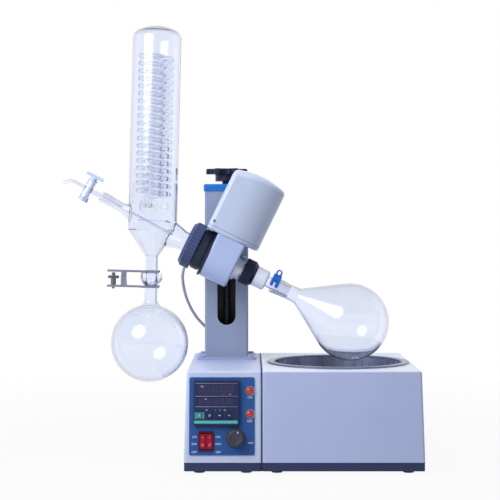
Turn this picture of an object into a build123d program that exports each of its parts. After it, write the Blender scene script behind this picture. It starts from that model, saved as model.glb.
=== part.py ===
from build123d import *
from math import acos, asin, atan2, cos, degrees, hypot, pi, radians, sin, sqrt, tan
import os

os.makedirs("parts", exist_ok=True)

# Rotary evaporator: a control box with a lift column, a bath box beside it, and a tilted
# drive head that carries a vertical condenser on its left and a round flask on its right.
# Millimetres, +Z up, the operator stands at -Y. The origin is under the middle of the
# whole instrument, on the bench.

# Where the column axis and the drive axis stand in that frame
column_x = -20.6
drive_y = -2.92

# General clearances
seat_gap = 0.3
run_gap = 0.05
slip_gap = 0.1

# Boxes
foot_height = 5.0
foot_radius = 10.0
foot_inset = 24.0
tray_height = 13.6
tray_wall = 3.0
tray_inset = 0.3
box_height = 141.4
box_wall = 2.0
box_edge = 4.0
front_bottom = -167.0
front_top = -145.0
rear_bottom = 186.0
rear_top = 182.0
control_left_bottom = -63.2
control_left_top = -59.2
control_right = 59.0
bath_right_lean = 2.7

# Column and lift
column_y = 97.0
column_width = 75.0
column_depth = 60.0
column_wall = 3.0
column_edge = 4.0
column_top = 450.0
flange_size = 100.0
flange_thickness = 4.0
flange_y = 93.0
flange_bolt_spacing = 84.0
flange_bolt_radius = 2.5
bolt_head_radius = 5.0
bolt_head_height = 3.0
slot_width = 31.6
slot_bottom = 218.5
slot_top = 398.0
cap_height = 12.0
cap_overhang = 2.0
bearing_height = 12.0
screw_radius = 6.0
screw_groove = 1.2
screw_pitch = 5.0
journal_radius = 5.0
carriage_height = 70.0
carriage_gap = 0.4
lead_nut_radius = 13.0
lead_nut_height = 24.0
lift_down = 100.0
lift_up = 30.0

# Lift knob
knob_stem_radius = 8.0
knob_stem_height = 5.5
knob_hub_radius = 20.0
knob_hub_height = 12.0
knob_lobe_radius = 34.0
knob_valley_radius = 24.0
knob_disc_height = 9.5
knob_lobes = 6

# Drive axis: its tilt, its origin at the middle of the gear case, and what is on it
drive_tilt = 26.0
head_x = -6.0
head_z = 333.0
case_radius = 40.0
case_half = 24.7
case_wall = 4.0
case_edge = 4.0
case_flat_drop = 2.5
case_pad_height = 8.0
case_pad_radius = 20.0
head_arm_radius = 13.5
bearing_radius = 21.0
bearing_width = 9.0
shaft_radius = 12.5
shaft_bore = 10.3
pulley_half = 6.0
pulley_clearance = 3.0
pulley_rim = 3.0
pulley_flange_thickness = 1.5
motor_pulley_radius = 12.0
motor_shaft_radius = 4.0
motor_rise = 40.0
motor_radius = 27.0
motor_start = -40.0
motor_end = -10.0
belt_thickness = 2.5
belt_width = 10.0
belt_slot_half = 9.0

# Condenser side of the drive axis, leftwards from the gear case
plate_lip = 1.0
plate_end = -28.5
ring_radius = 35.0
ring_start = -31.0
ring_end = -44.0
thread_radius = 33.0
flange_end = -57.5
flange_bore = 20.0
nut_radius = 39.5
nut_start = -46.5
nut_end = -67.0
nut_lip = 4.0
nut_chamfer = 6.0
nut_ribs = 40
rib_depth = 1.2
arm_flange_radius = 28.0
arm_radius = 16.5
arm_end_radius = 22.0
arm_end = -95.0

# Flask side of the drive axis, rightwards from the gear case
collar_radius = 24.0
collar_step_radius = 21.0
collar_step = 28.5
collar_end = 36.0
eject_start = 39.0
eject_end = 61.0
eject_radius = 22.0
eject_end_radius = 17.5
eject_ribs = 24
sleeve_end = 83.0
sleeve_radius = 17.0
sleeve_chamfer = 2.5
duct_radius = 10.0
duct_wall = 2.5
joint_start = 96.0
joint_length = 29.0
joint_radius = 12.0
joint_taper = 0.05
bead_radius = 15.4
bead_width = 3.0
neck_radius = 13.5
neck_end = 140.0
flask_centre = 239.3
flask_radius = 65.0
glass_wall = 2.2

# Motor cover and pan
pan_height = 7.5
cover_left = -46.0
cover_straight = 31.0
cover_length = 62.0
cover_half = 45.0
cover_height = 101.0
cover_crown = 8.0
cover_wall = 2.5
cover_corner = 8.0
cover_edge = 9.0
pan_edge = 4.0

# Condenser, on an axis that leans a little to the right
glass_lean = 1.47
flask_x = -128.2
flask_z = 192.6
neck_outer = 10.7
neck_flare = 13.0
ball_s = 114.0
ball_radius = 17.5
cup_wall = 2.4
cup_rim = 110.0
neck_bore = 8.2
ball_shoulder = 118.2
throat_s = 146.0
chamber_s = 190.0
jacket_radius = 41.0
jacket_wall = 2.5
dome_height = 21.0
dome_corner = 14.0
condenser_top = 532.0
shelf_s = 203.0
shelf_thickness = 2.0
shelf_radius = 24.0
shelf_height = 4.0
coil_start = 247.0
coil_pitch = 12.5
coil_turns = 19
coil_radius = 26.0
inner_coil_radius = 14.0
coil_tube = 3.75
boss_s = 230.7
large_boss_x = -11.8
large_boss_radius = 16.0
small_boss_x = 16.3
small_boss_radius = 8.9
boss_end = 58.0
nipple_radius = 4.5
nipple_bore = 3.0
nipple_length = 24.0

# Feed port and stopcock, on an axis that rises to the left
port_rise = 28.5
port_x = -120.7
port_z = 391.7
port_base_radius = 15.0
port_neck_radius = 8.0
port_wall_q = 40.0
port_socket_start = 73.0
port_socket_end = 98.0
port_rim_radius = 10.3
port_bore = 6.4
feed_tube_radius = 2.3
feed_tube_bore = 1.2
feed_tube_end = -36.0
barrel_q = 125.0
barrel_radius = 8.0
barrel_half = 15.0
key_radius = 5.5
handle_length = 30.0
handle_width = 5.5
handle_thickness = 7.0
handle_reach = 18.0
tip_radius = 2.8
tip_bore = 1.5
tip_run = 24.0
tip_bend = 20.0
tip_angle = 63.0

# Ball joint clamp
clamp_plate = 3.5
clamp_lower_s = 93.2
clamp_upper_s = 118.6
clamp_right = 13.7
clamp_left = -73.7
clamp_width = 34.0
clamp_tail_width = 16.0
clamp_fork = 11.3
hinge_x = -45.8
hinge_width = 9.0
hinge_pin_radius = 2.0
clamp_screw_x = -63.4
clamp_disc_radius = 9.2
clamp_disc_height = 4.4
clamp_barrel_radius = 4.4

# Control panel, on the leaning front of the control box
panel_left = -54.9
panel_right = 47.8
panel_low = 30.0
panel_high = 150.4
panel_thickness = 1.5
panel_corner = 3.0
meter_size = 72.0
meter_body = 68.0
meter_depth = 60.0
meter_bezel = 7.0
meter_x = -12.1
meter_z = 110.4
meter_corner = 2.5
window_width = 60.0
window_depth = 1.2
upper_window = (131.6, 19.0)
lower_window = (113.1, 13.0)
key_z = 90.9
key_offsets = (-26.9, -10.5, 5.2, 20.1)
key_size = 7.5
key_proud = 1.2
key_travel = 0.8
button_x = 40.6
button_heights = (129.2, 93.5)
button_radius = 5.8
button_proud = 5.0
button_travel = 2.5
rocker_x = -28.3
rocker_z = 51.7
rocker_frame_width = 24.0
rocker_frame_height = 31.0
rocker_width = 9.4
rocker_half = 11.5
rocker_tilt = 8.0
rocker_pin_radius = 0.75
dial_x = 17.9
dial_z = 56.3
dial_skirt_radius = 16.0
dial_radius = 13.0
dial_height = 17.0

# Bath pot
pot_left_margin = 10.1
pot_right_margin = 5.2
pot_radius = 107.0
pot_wall = 1.5
pot_floor = 50.0
pot_lip_width = 12.0
pot_lip_height = 3.0
heater_radius = 72.0
heater_tube = 4.0
probe_radius = 3.0
probe_length = 30.0
probe_z = 75.0

# Cable from the head to the control box
cable_radius = 2.5
gland_radius = 5.5
gland_height = 9.0
cable_first_run = 14.0

FROM_BASE = (Align.CENTER, Align.CENTER, Align.MIN)
FROM_TOP = (Align.CENTER, Align.CENTER, Align.MAX)

# Levels that follow from the sizes above
tray_top = foot_height + tray_height
box_top = tray_top + box_height
flange_top = box_top + flange_thickness
column_y_abs = drive_y + column_y
control_left_mid = (control_left_bottom + control_left_top) / 2
bath_left = control_right + seat_gap
pot_lip_radius = pot_radius + pot_lip_width
pot_x = bath_left + pot_left_margin + pot_lip_radius
bath_right_top = pot_x + pot_lip_radius + pot_right_margin
bath_right_bottom = bath_right_top + bath_right_lean
front_tilt = atan2(front_top - front_bottom, box_height)
case_flat = case_radius - case_flat_drop
case_rear_pad = case_radius + case_pad_height
belt_slot_y = case_radius - case_wall
pulley_flange = case_radius - case_wall - pulley_clearance
pulley_radius = pulley_flange - pulley_rim
plate_radius = case_radius + plate_lip
seam_v = case_flat + pan_height
motor_v = seam_v + motor_rise
rear_tilt = atan2(rear_bottom - rear_top, box_height)

# Drive axis frame: t runs down to the flask, v stands square above it, Y is across
drive_cos = cos(radians(drive_tilt))
drive_sin = sin(radians(drive_tilt))
drive_origin = Vector(column_x + head_x, drive_y, head_z)
drive_t = Vector(drive_cos, 0, -drive_sin)
drive_v = Vector(drive_sin, 0, drive_cos)
drive_axis = Axis(drive_origin, drive_t)
drive_side = Plane(drive_origin, x_dir=drive_t, z_dir=(0, -1, 0))

# Condenser axis frame: s runs up the glass from the middle of the receiving flask
glass_origin = Vector(column_x + flask_x, drive_y, flask_z)
glass_up = Vector(sin(radians(glass_lean)), 0, cos(radians(glass_lean)))
glass_right = Vector(cos(radians(glass_lean)), 0, -sin(radians(glass_lean)))
glass_axis = Axis(glass_origin, glass_up)
glass_side = Plane(glass_origin, x_dir=glass_right, z_dir=(0, -1, 0))

# Feed port frame: q runs up to the left from the condenser axis
port_origin = Vector(column_x + port_x, drive_y, port_z)
port_q = Vector(-cos(radians(port_rise)), 0, sin(radians(port_rise)))
port_axis = Axis(port_origin, port_q)
port_side = Plane(port_origin, x_dir=port_q, z_dir=(0, 1, 0))

# Panel frame: x from the column axis, y up the slope from the tray, outward normal
front_up = Vector(0, sin(front_tilt), cos(front_tilt))
front_out = Vector(0, -cos(front_tilt), sin(front_tilt))


def across_drive(t):
    """The plane square to the drive axis at t, with x across and y along v."""
    return Plane(drive_origin + drive_t * t, x_dir=(0, 1, 0), z_dir=drive_t)


def above_drive(v):
    """The plane parallel to the drive axis at height v, with x along t and y across."""
    return Plane(drive_origin + drive_v * v, x_dir=drive_t, z_dir=drive_v)


def across_glass(s):
    """The plane square to the condenser axis at s."""
    return Plane(glass_origin + glass_up * s, x_dir=glass_right, z_dir=glass_up)


def behind_glass(x, y, s):
    """The plane that faces the rear beside the condenser axis."""
    place = glass_origin + glass_right * x + glass_up * s + Vector(0, y, 0)
    return Plane(place, x_dir=glass_right, z_dir=(0, 1, 0))


def across_port(q):
    """The plane square to the feed port's axis at q."""
    return Plane(port_origin + port_q * q, x_dir=(0, 1, 0), z_dir=port_q)


def on_front(x, z, out=0.0):
    """The plane on the control box's front at height z, moved outward."""
    rise = (z - tray_top) / cos(front_tilt)
    foot = Vector(column_x + x, drive_y + front_bottom, tray_top)
    return Plane(foot + front_up * rise + front_out * out, x_dir=(1, 0, 0), z_dir=front_out)


def on_rear(x, z, out=0.0):
    """The plane on the boxes' rear at height z, moved outward."""
    rise = (z - tray_top) / cos(rear_tilt)
    rear_up = Vector(0, -sin(rear_tilt), cos(rear_tilt))
    rear_out = Vector(0, cos(rear_tilt), sin(rear_tilt))
    foot = Vector(column_x + x, drive_y + rear_bottom, tray_top)
    return Plane(foot + rear_up * rise + rear_out * out, x_dir=(-1, 0, 0), z_dir=rear_out)


def box_outline(left, right, front, rear, inset, z):
    """Centre, width and depth of a box's rectangle at height z, drawn in by inset."""
    centre = (column_x + (left + right) / 2, drive_y + (front + rear) / 2, z)
    return Plane(centre), right - left - 2 * inset, rear - front - 2 * inset


def tangent_from(point, centre, radius):
    """Where a line from the point touches a circle about a centre on the axis."""
    reach = hypot(centre - point[0], point[1])
    turn = asin(radius / reach) - atan2(point[1], centre - point[0])
    run = sqrt(reach**2 - radius**2)
    return point[0] + run * cos(turn), point[1] + run * sin(turn)


def dome_arcs(radius, height, corner, base):
    """The two arcs of a dished end: a corner that meets the wall and a crown on top."""
    crown = (radius**2 - 2 * radius * corner + height**2) / (2 * (height - corner))
    lean = asin((radius - corner) / (crown - corner))
    crown_base = base + height - crown
    corner_middle = (pi / 2 - lean) / 2
    start = (radius, base)
    middle = (
        radius - corner + corner * cos(corner_middle),
        base + corner * sin(corner_middle),
    )
    join = (crown * sin(lean), crown_base + crown * cos(lean))
    crown_middle = (crown * sin(lean / 2), crown_base + crown * cos(lean / 2))
    return (start, middle, join), (join, crown_middle, (0, base + height))


# Control box: a folded housing that is open below and stands on its tray
with BuildPart() as control_housing:
    plane, width, depth = box_outline(
        control_left_bottom, control_right, front_bottom, rear_bottom, 0, tray_top
    )
    with BuildSketch(plane):
        Rectangle(width, depth)
    plane, width, depth = box_outline(
        control_left_top, control_right, front_top, rear_top, 0, box_top
    )
    with BuildSketch(plane):
        Rectangle(width, depth)
    loft(ruled=True)
    upper_edges = control_housing.edges().group_by(Axis.Z)[1:]
    fillet([edge for group in upper_edges for edge in group], box_edge)
    plane, width, depth = box_outline(
        control_left_bottom, control_right, front_bottom, rear_bottom, box_wall, tray_top
    )
    with BuildSketch(plane):
        Rectangle(width, depth)
    plane, width, depth = box_outline(
        control_left_top, control_right, front_top, rear_top, box_wall, box_top - box_wall
    )
    with BuildSketch(plane):
        Rectangle(width, depth)
    loft(ruled=True, mode=Mode.SUBTRACT)
    with Locations(Plane((column_x, drive_y + flange_y, box_top))):
        with GridLocations(flange_bolt_spacing, flange_bolt_spacing, 2, 2):
            Hole(flange_bolt_radius + seat_gap)
    with Locations(on_front(meter_x, meter_z)):
        Box(meter_body + 2 * seat_gap, meter_body + 2 * seat_gap, 20, mode=Mode.SUBTRACT)
    for button_z in button_heights:
        with Locations(on_front(button_x, button_z)):
            Cylinder(button_radius + seat_gap, 20, mode=Mode.SUBTRACT)
    with Locations(on_front(rocker_x, rocker_z)):
        Box(rocker_frame_width - 1.4, rocker_frame_height - 1.4, 20, mode=Mode.SUBTRACT)
    with Locations(on_front(dial_x, dial_z)):
        Cylinder(motor_shaft_radius - 1 + seat_gap, 20, mode=Mode.SUBTRACT)
    with Locations(on_rear(0, 60)):
        Box(27 + 2 * seat_gap, 20 + 2 * seat_gap, 20, mode=Mode.SUBTRACT)
control_housing.part.label = "control_housing"
export_step(control_housing.part, "parts/control_housing.step")

# Trays under the two boxes, with rims that the housings stand on
with BuildPart() as box_trays:
    for left, right in (
        (control_left_bottom, control_right),
        (bath_left, bath_right_bottom),
    ):
        plane, width, depth = box_outline(
            left, right, front_bottom, rear_bottom, tray_inset, foot_height
        )
        with BuildSketch(plane):
            RectangleRounded(width, depth, box_edge)
        extrude(amount=tray_height)
        with BuildSketch(plane.offset(tray_wall)):
            RectangleRounded(width - 2 * tray_wall, depth - 2 * tray_wall, 2)
        extrude(amount=tray_height, mode=Mode.SUBTRACT)
box_trays.part.label = "box_trays"
export_step(box_trays.part, "parts/box_trays.step")

# Bath box: the same housing beside it, with a round opening for the pot
with BuildPart() as bath_housing:
    plane, width, depth = box_outline(
        bath_left, bath_right_bottom, front_bottom, rear_bottom, 0, tray_top
    )
    with BuildSketch(plane):
        Rectangle(width, depth)
    plane, width, depth = box_outline(
        bath_left, bath_right_top, front_top, rear_top, 0, box_top
    )
    with BuildSketch(plane):
        Rectangle(width, depth)
    loft(ruled=True)
    upper_edges = bath_housing.edges().group_by(Axis.Z)[1:]
    fillet([edge for group in upper_edges for edge in group], box_edge)
    plane, width, depth = box_outline(
        bath_left, bath_right_bottom, front_bottom, rear_bottom, box_wall, tray_top
    )
    with BuildSketch(plane):
        Rectangle(width, depth)
    plane, width, depth = box_outline(
        bath_left, bath_right_top, front_top, rear_top, box_wall, box_top - box_wall
    )
    with BuildSketch(plane):
        Rectangle(width, depth)
    loft(ruled=True, mode=Mode.SUBTRACT)
    with Locations(Plane((column_x + pot_x, drive_y, box_top))):
        Hole(pot_radius + pot_wall + seat_gap)
bath_housing.part.label = "bath_housing"
export_step(bath_housing.part, "parts/bath_housing.step")

# Rubber feet, four under each tray
with BuildPart() as feet:
    for left, right in (
        (control_left_bottom, control_right),
        (bath_left, bath_right_bottom),
    ):
        middle = column_x + (left + right) / 2
        with Locations((middle, drive_y + (front_bottom + rear_bottom) / 2, 0)):
            with GridLocations(
                right - left - 2 * foot_inset, rear_bottom - front_bottom - 2 * foot_inset, 2, 2
            ):
                Cone(foot_radius - 1.5, foot_radius, foot_height, align=FROM_BASE)
feet.part.label = "feet"
export_step(feet.part, "parts/feet.step")

# Foot flange of the column, bolted to the control box
with BuildPart() as column_flange:
    with BuildSketch(Plane((column_x, drive_y + flange_y, box_top))):
        RectangleRounded(flange_size, flange_size, column_edge)
        with GridLocations(flange_bolt_spacing, flange_bolt_spacing, 2, 2):
            Circle(flange_bolt_radius + seat_gap, mode=Mode.SUBTRACT)
    extrude(amount=flange_thickness)
column_flange.part.label = "column_flange"
export_step(column_flange.part, "parts/column_flange.step")

# Bolts through the flange and the housing's top, each with a nut below
with BuildPart() as flange_bolts:
    with Locations(Plane((column_x, drive_y + flange_y, flange_top))):
        with GridLocations(flange_bolt_spacing, flange_bolt_spacing, 2, 2):
            Cylinder(bolt_head_radius, bolt_head_height, align=FROM_BASE)
            Cylinder(flange_bolt_radius, flange_thickness + box_wall, align=FROM_TOP)
    with Locations(Plane((column_x, drive_y + flange_y, box_top - box_wall))):
        with GridLocations(flange_bolt_spacing, flange_bolt_spacing, 2, 2):
            Cylinder(bolt_head_radius, bolt_head_height, align=FROM_TOP)
    fillet(flange_bolts.faces().sort_by(Axis.Z)[-4:].edges(), 1)
flange_bolts.part.label = "flange_bolts"
export_step(flange_bolts.part, "parts/flange_bolts.step")

# Column: a rectangular tube with an obround slot down its front wall
with BuildPart() as column_tube:
    with BuildSketch(Plane((column_x, column_y_abs, flange_top))):
        RectangleRounded(column_width, column_depth, column_edge)
        RectangleRounded(
            column_width - 2 * column_wall, column_depth - 2 * column_wall, 1, mode=Mode.SUBTRACT
        )
    extrude(amount=column_top - flange_top)
    slot_middle = (slot_bottom + slot_top) / 2
    front_wall = column_y_abs - column_depth / 2
    with BuildSketch(Plane((column_x, front_wall, slot_middle), x_dir=(0, 0, 1), z_dir=(0, 1, 0))):
        SlotOverall(slot_top - slot_bottom, slot_width)
    extrude(amount=column_wall, mode=Mode.SUBTRACT)
column_tube.part.label = "column_tube"
export_step(column_tube.part, "parts/column_tube.step")

# Blocks at both ends of the tube that carry the lead screw
with BuildPart() as screw_bearings:
    for level in (flange_top, column_top - bearing_height):
        with BuildSketch(Plane((column_x, column_y_abs, level))):
            Rectangle(
                column_width - 2 * column_wall - slip_gap,
                column_depth - 2 * column_wall - slip_gap,
            )
            Circle(journal_radius + run_gap, mode=Mode.SUBTRACT)
        extrude(amount=bearing_height)
    chamfer(screw_bearings.edges().filter_by(Axis.Z), 1.5)
screw_bearings.part.label = "screw_bearings"
export_step(screw_bearings.part, "parts/screw_bearings.step")

# Cap on top of the column
with BuildPart() as column_cap:
    with BuildSketch(Plane((column_x, column_y_abs, column_top))):
        RectangleRounded(
            column_width + 2 * cap_overhang, column_depth + 2 * cap_overhang, column_edge
        )
        Circle(journal_radius + seat_gap, mode=Mode.SUBTRACT)
    extrude(amount=cap_height)
    top_face = column_cap.faces().sort_by(Axis.Z)[-1]
    fillet(top_face.outer_wire().edges(), 3)
column_cap.part.label = "column_cap"
export_step(column_cap.part, "parts/column_cap.step")

# Lead screw: a grooved rod on plain journals, which ends inside the lift knob
screw_bottom = flange_top + bearing_height + seat_gap
screw_top = column_top - bearing_height - seat_gap
knob_base = column_top + cap_height + seat_gap
knob_hub_base = knob_base + knob_stem_height
knob_disc_base = knob_hub_base + knob_hub_height
groove_count = int((screw_top - screw_bottom - 10) / screw_pitch)
with BuildPart() as lead_screw:
    with Locations(Plane((column_x, column_y_abs, flange_top + 2))):
        Cylinder(journal_radius, knob_disc_base - flange_top - 2 - seat_gap, align=FROM_BASE)
    with Locations(Plane((column_x, column_y_abs, screw_bottom))):
        Cylinder(screw_radius - screw_groove, screw_top - screw_bottom, align=FROM_BASE)
    with BuildSketch(Plane((column_x, column_y_abs, 0), x_dir=(1, 0, 0), z_dir=(0, -1, 0))):
        with BuildLine():
            outline = [(0, screw_bottom), (screw_radius, screw_bottom)]
            for turn in range(groove_count):
                z = screw_bottom + 5 + turn * screw_pitch
                outline += [
                    (screw_radius, z),
                    (screw_radius - screw_groove, z + 0.25 * screw_pitch),
                    (screw_radius - screw_groove, z + 0.5 * screw_pitch),
                    (screw_radius, z + 0.75 * screw_pitch),
                ]
            outline += [(screw_radius, screw_top), (0, screw_top)]
            Polyline(*outline, close=True)
        make_face()
    revolve(axis=Axis((column_x, column_y_abs, 0), (0, 0, 1)))
lead_screw.part.label = "lead_screw"
export_step(lead_screw.part, "parts/lead_screw.step")

# Lift knob: a stem, a hub and a lobed disc that turn the screw
with BuildPart() as lift_knob:
    with Locations(Plane((column_x, column_y_abs, knob_base))):
        Cylinder(knob_stem_radius, knob_stem_height, align=FROM_BASE)
    with Locations(Plane((column_x, column_y_abs, knob_hub_base))):
        Cylinder(knob_hub_radius, knob_hub_height, align=FROM_BASE)
    lobe_ring = (knob_lobe_radius + knob_valley_radius) / 2
    lobe_size = knob_lobe_radius - lobe_ring
    with BuildSketch(Plane((column_x, column_y_abs, knob_disc_base))):
        Circle(lobe_ring)
        with PolarLocations(lobe_ring, knob_lobes):
            Circle(lobe_size + 2)
        with PolarLocations(knob_lobe_radius + 1, knob_lobes, start_angle=180 / knob_lobes):
            Circle(knob_lobe_radius + 1 - knob_valley_radius, mode=Mode.SUBTRACT)
    extrude(amount=knob_disc_height)
    fillet(lift_knob.faces().sort_by(Axis.Z)[-1].edges(), 2)
    with Locations(Plane((column_x, column_y_abs, knob_base))):
        Cylinder(
            journal_radius + run_gap,
            knob_disc_base - knob_base + seat_gap,
            align=FROM_BASE,
            mode=Mode.SUBTRACT,
        )
lift_knob.part.label = "lift_knob"
export_step(lift_knob.part, "parts/lift_knob.step")

# Carriage that slides inside the column, with the nut that the screw drives let into it
carriage_base = head_z - carriage_height / 2
carriage_depth = column_depth - 2 * column_wall - 2 * carriage_gap
with BuildPart() as carriage:
    with BuildSketch(Plane((column_x, column_y_abs, carriage_base))):
        Rectangle(column_width - 2 * column_wall - 2 * carriage_gap, carriage_depth)
        Circle(screw_radius + seat_gap, mode=Mode.SUBTRACT)
    extrude(amount=carriage_height)
    chamfer(carriage.edges().filter_by(Axis.Z).filter_by(GeomType.LINE), 1.5)
    with Locations(Plane((column_x, column_y_abs, carriage_base + carriage_height))):
        Cylinder(
            lead_nut_radius + slip_gap, lead_nut_height, align=FROM_TOP, mode=Mode.SUBTRACT
        )
    with BuildSketch(Plane((column_x, column_y_abs, carriage_base + carriage_height))):
        Circle(lead_nut_radius)
        Circle(screw_radius + seat_gap, mode=Mode.SUBTRACT)
    extrude(amount=slip_gap - lead_nut_height)
carriage.part.label = "carriage"
export_step(carriage.part, "parts/carriage.step")

# Arm from the carriage through the slot to the gear case
arm_start = column_y - carriage_depth / 2
with BuildPart() as head_arm:
    place = Plane((column_x, drive_y + arm_start, head_z), x_dir=(1, 0, 0), z_dir=(0, -1, 0))
    with Locations(place):
        Cylinder(head_arm_radius, arm_start - case_rear_pad, align=FROM_BASE)
head_arm.part.label = "head_arm"
export_step(head_arm.part, "parts/head_arm.step")

# Gear case: round below the drive axis, straight up to the pan, with a rear pad and bearing seats
with BuildPart() as gear_case:
    with BuildSketch(across_drive(-case_half)):
        Circle(case_radius)
        Rectangle(2 * case_radius, case_flat + 2 * case_edge, align=(Align.CENTER, Align.MIN))
    extrude(amount=2 * case_half)
    fillet(gear_case.faces().filter_by(drive_axis).edges(), case_edge)
    place = Plane((column_x, drive_y + case_rear_pad, head_z), x_dir=(1, 0, 0), z_dir=(0, -1, 0))
    with Locations(place):
        Cylinder(case_pad_radius, case_rear_pad - case_radius + 14, align=FROM_BASE)
    with Locations(above_drive(case_flat)):
        Box(120, 120, 20, align=FROM_BASE, mode=Mode.SUBTRACT)
    cavity_half = case_half - bearing_width - case_wall
    with Locations(across_drive(-cavity_half)):
        Cylinder(
            case_radius - case_wall, 2 * cavity_half, align=FROM_BASE, mode=Mode.SUBTRACT
        )
    with Locations(across_drive(-case_half)):
        Cylinder(shaft_radius + 1, 2 * case_half, align=FROM_BASE, mode=Mode.SUBTRACT)
    for start in (-case_half, case_half - bearing_width):
        with Locations(across_drive(start)):
            Cylinder(
                bearing_radius + run_gap, bearing_width, align=FROM_BASE, mode=Mode.SUBTRACT
            )
    with Locations(above_drive(0)):
        Box(
            2 * belt_slot_half, 2 * belt_slot_y, case_radius, align=FROM_BASE, mode=Mode.SUBTRACT
        )
gear_case.part.label = "gear_case"
export_step(gear_case.part, "parts/gear_case.step")

# Bearings in the gear case's two ends, with a shield groove on each side
with BuildPart() as shaft_bearings:
    for start in (-case_half, case_half - bearing_width):
        with Locations(across_drive(start)):
            Cylinder(bearing_radius, bearing_width, align=FROM_BASE)
            Cylinder(
                shaft_radius + run_gap, bearing_width, align=FROM_BASE, mode=Mode.SUBTRACT
            )
        for groove in (start, start + bearing_width - 0.6):
            with BuildSketch(across_drive(groove)):
                Circle(bearing_radius - 2)
                Circle(shaft_radius + 2, mode=Mode.SUBTRACT)
            extrude(amount=0.6, mode=Mode.SUBTRACT)
shaft_bearings.part.label = "shaft_bearings"
export_step(shaft_bearings.part, "parts/shaft_bearings.step")

# Hollow shaft through the bearings, which the glass duct runs inside
shaft_start = ring_end - seat_gap
with BuildPart() as hollow_shaft:
    with Locations(across_drive(shaft_start)):
        Cylinder(shaft_radius, eject_end - shaft_start, align=FROM_BASE)
        Cylinder(shaft_bore, eject_end - shaft_start, align=FROM_BASE, mode=Mode.SUBTRACT)
hollow_shaft.part.label = "hollow_shaft"
export_step(hollow_shaft.part, "parts/hollow_shaft.step")

# Flanged belt pulley on the hollow shaft
with BuildPart() as shaft_pulley:
    with Locations(across_drive(-pulley_half - pulley_flange_thickness)):
        Cylinder(pulley_flange, 2 * (pulley_half + pulley_flange_thickness), align=FROM_BASE)
    with BuildSketch(across_drive(-pulley_half)):
        Circle(pulley_flange)
        Circle(pulley_radius, mode=Mode.SUBTRACT)
    extrude(amount=2 * pulley_half, mode=Mode.SUBTRACT)
    with Locations(across_drive(-case_half)):
        Cylinder(shaft_radius, 2 * case_half, align=FROM_BASE, mode=Mode.SUBTRACT)
shaft_pulley.part.label = "shaft_pulley"
export_step(shaft_pulley.part, "parts/shaft_pulley.step")

# Belt round both pulleys
belt_start = across_drive(-belt_width / 2)
with BuildPart() as drive_belt:
    with BuildSketch(belt_start):
        Circle(pulley_radius + seat_gap + belt_thickness)
        with Locations((0, motor_v)):
            Circle(motor_pulley_radius + seat_gap + belt_thickness)
        make_hull()
    extrude(amount=belt_width)
    with BuildSketch(belt_start):
        Circle(pulley_radius + seat_gap)
        with Locations((0, motor_v)):
            Circle(motor_pulley_radius + seat_gap)
        make_hull()
    extrude(amount=belt_width, mode=Mode.SUBTRACT)
drive_belt.part.label = "drive_belt"
export_step(drive_belt.part, "parts/drive_belt.step")

# Motor, lying along the drive axis on a foot that stands on the pan
with BuildPart() as drive_motor:
    with Locations(across_drive(motor_start)):
        with Locations((0, motor_v)):
            Cylinder(motor_radius, motor_end - motor_start, align=FROM_BASE)
    fillet(drive_motor.edges(), 2)
    with Locations(above_drive(seam_v)):
        with Locations(((motor_start + motor_end) / 2, 0)):
            Box(
                motor_end - motor_start - 8,
                1.4 * motor_radius,
                motor_v - seam_v - motor_radius / 2,
                align=FROM_BASE,
            )
    with Locations(across_drive(motor_end)):
        with Locations((0, motor_v)):
            Cylinder(motor_shaft_radius + run_gap, 8, align=FROM_TOP, mode=Mode.SUBTRACT)
drive_motor.part.label = "drive_motor"
export_step(drive_motor.part, "parts/drive_motor.step")

# Motor pulley and the motor's shaft
with BuildPart() as motor_pulley:
    with Locations(across_drive(-pulley_half - pulley_flange_thickness)):
        with Locations((0, motor_v)):
            Cylinder(
                motor_pulley_radius + belt_thickness,
                2 * (pulley_half + pulley_flange_thickness),
                align=FROM_BASE,
            )
    with BuildSketch(across_drive(-pulley_half)):
        with Locations((0, motor_v)):
            Circle(motor_pulley_radius + belt_thickness)
            Circle(motor_pulley_radius, mode=Mode.SUBTRACT)
    extrude(amount=2 * pulley_half, mode=Mode.SUBTRACT)
    with Locations(across_drive(motor_end - 8 + seat_gap)):
        with Locations((0, motor_v)):
            Cylinder(motor_shaft_radius, pulley_half + 8 - motor_end, align=FROM_BASE)
motor_pulley.part.label = "motor_pulley"
export_step(motor_pulley.part, "parts/motor_pulley.step")

# Pan under the motor: a D-shaped plate, straight on the left and half an ellipse on the right
ellipse_t = cover_left + cover_straight
with BuildPart() as motor_pan:
    with BuildSketch(above_drive(case_flat)):
        with BuildLine():
            Polyline(
                (ellipse_t, cover_half),
                (cover_left, cover_half),
                (cover_left, -cover_half),
                (ellipse_t, -cover_half),
            )
            EllipticalCenterArc((ellipse_t, 0), cover_length, cover_half, -90, arc_size=180)
        make_face()
    extrude(amount=seam_v - case_flat)
    corners = motor_pan.edges().filter_by(Axis(drive_origin, drive_v))
    fillet(corners.sort_by(Axis(drive_origin, drive_t))[:2], cover_corner)
    under = motor_pan.faces().sort_by(Axis(drive_origin, drive_v))[0]
    fillet(under.edges(), pan_edge)
    with Locations(above_drive(case_flat)):
        Box(
            2 * belt_slot_half,
            2 * belt_slot_y,
            seam_v - case_flat,
            align=FROM_BASE,
            mode=Mode.SUBTRACT,
        )
motor_pan.part.label = "motor_pan"
export_step(motor_pan.part, "parts/motor_pan.step")

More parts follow.
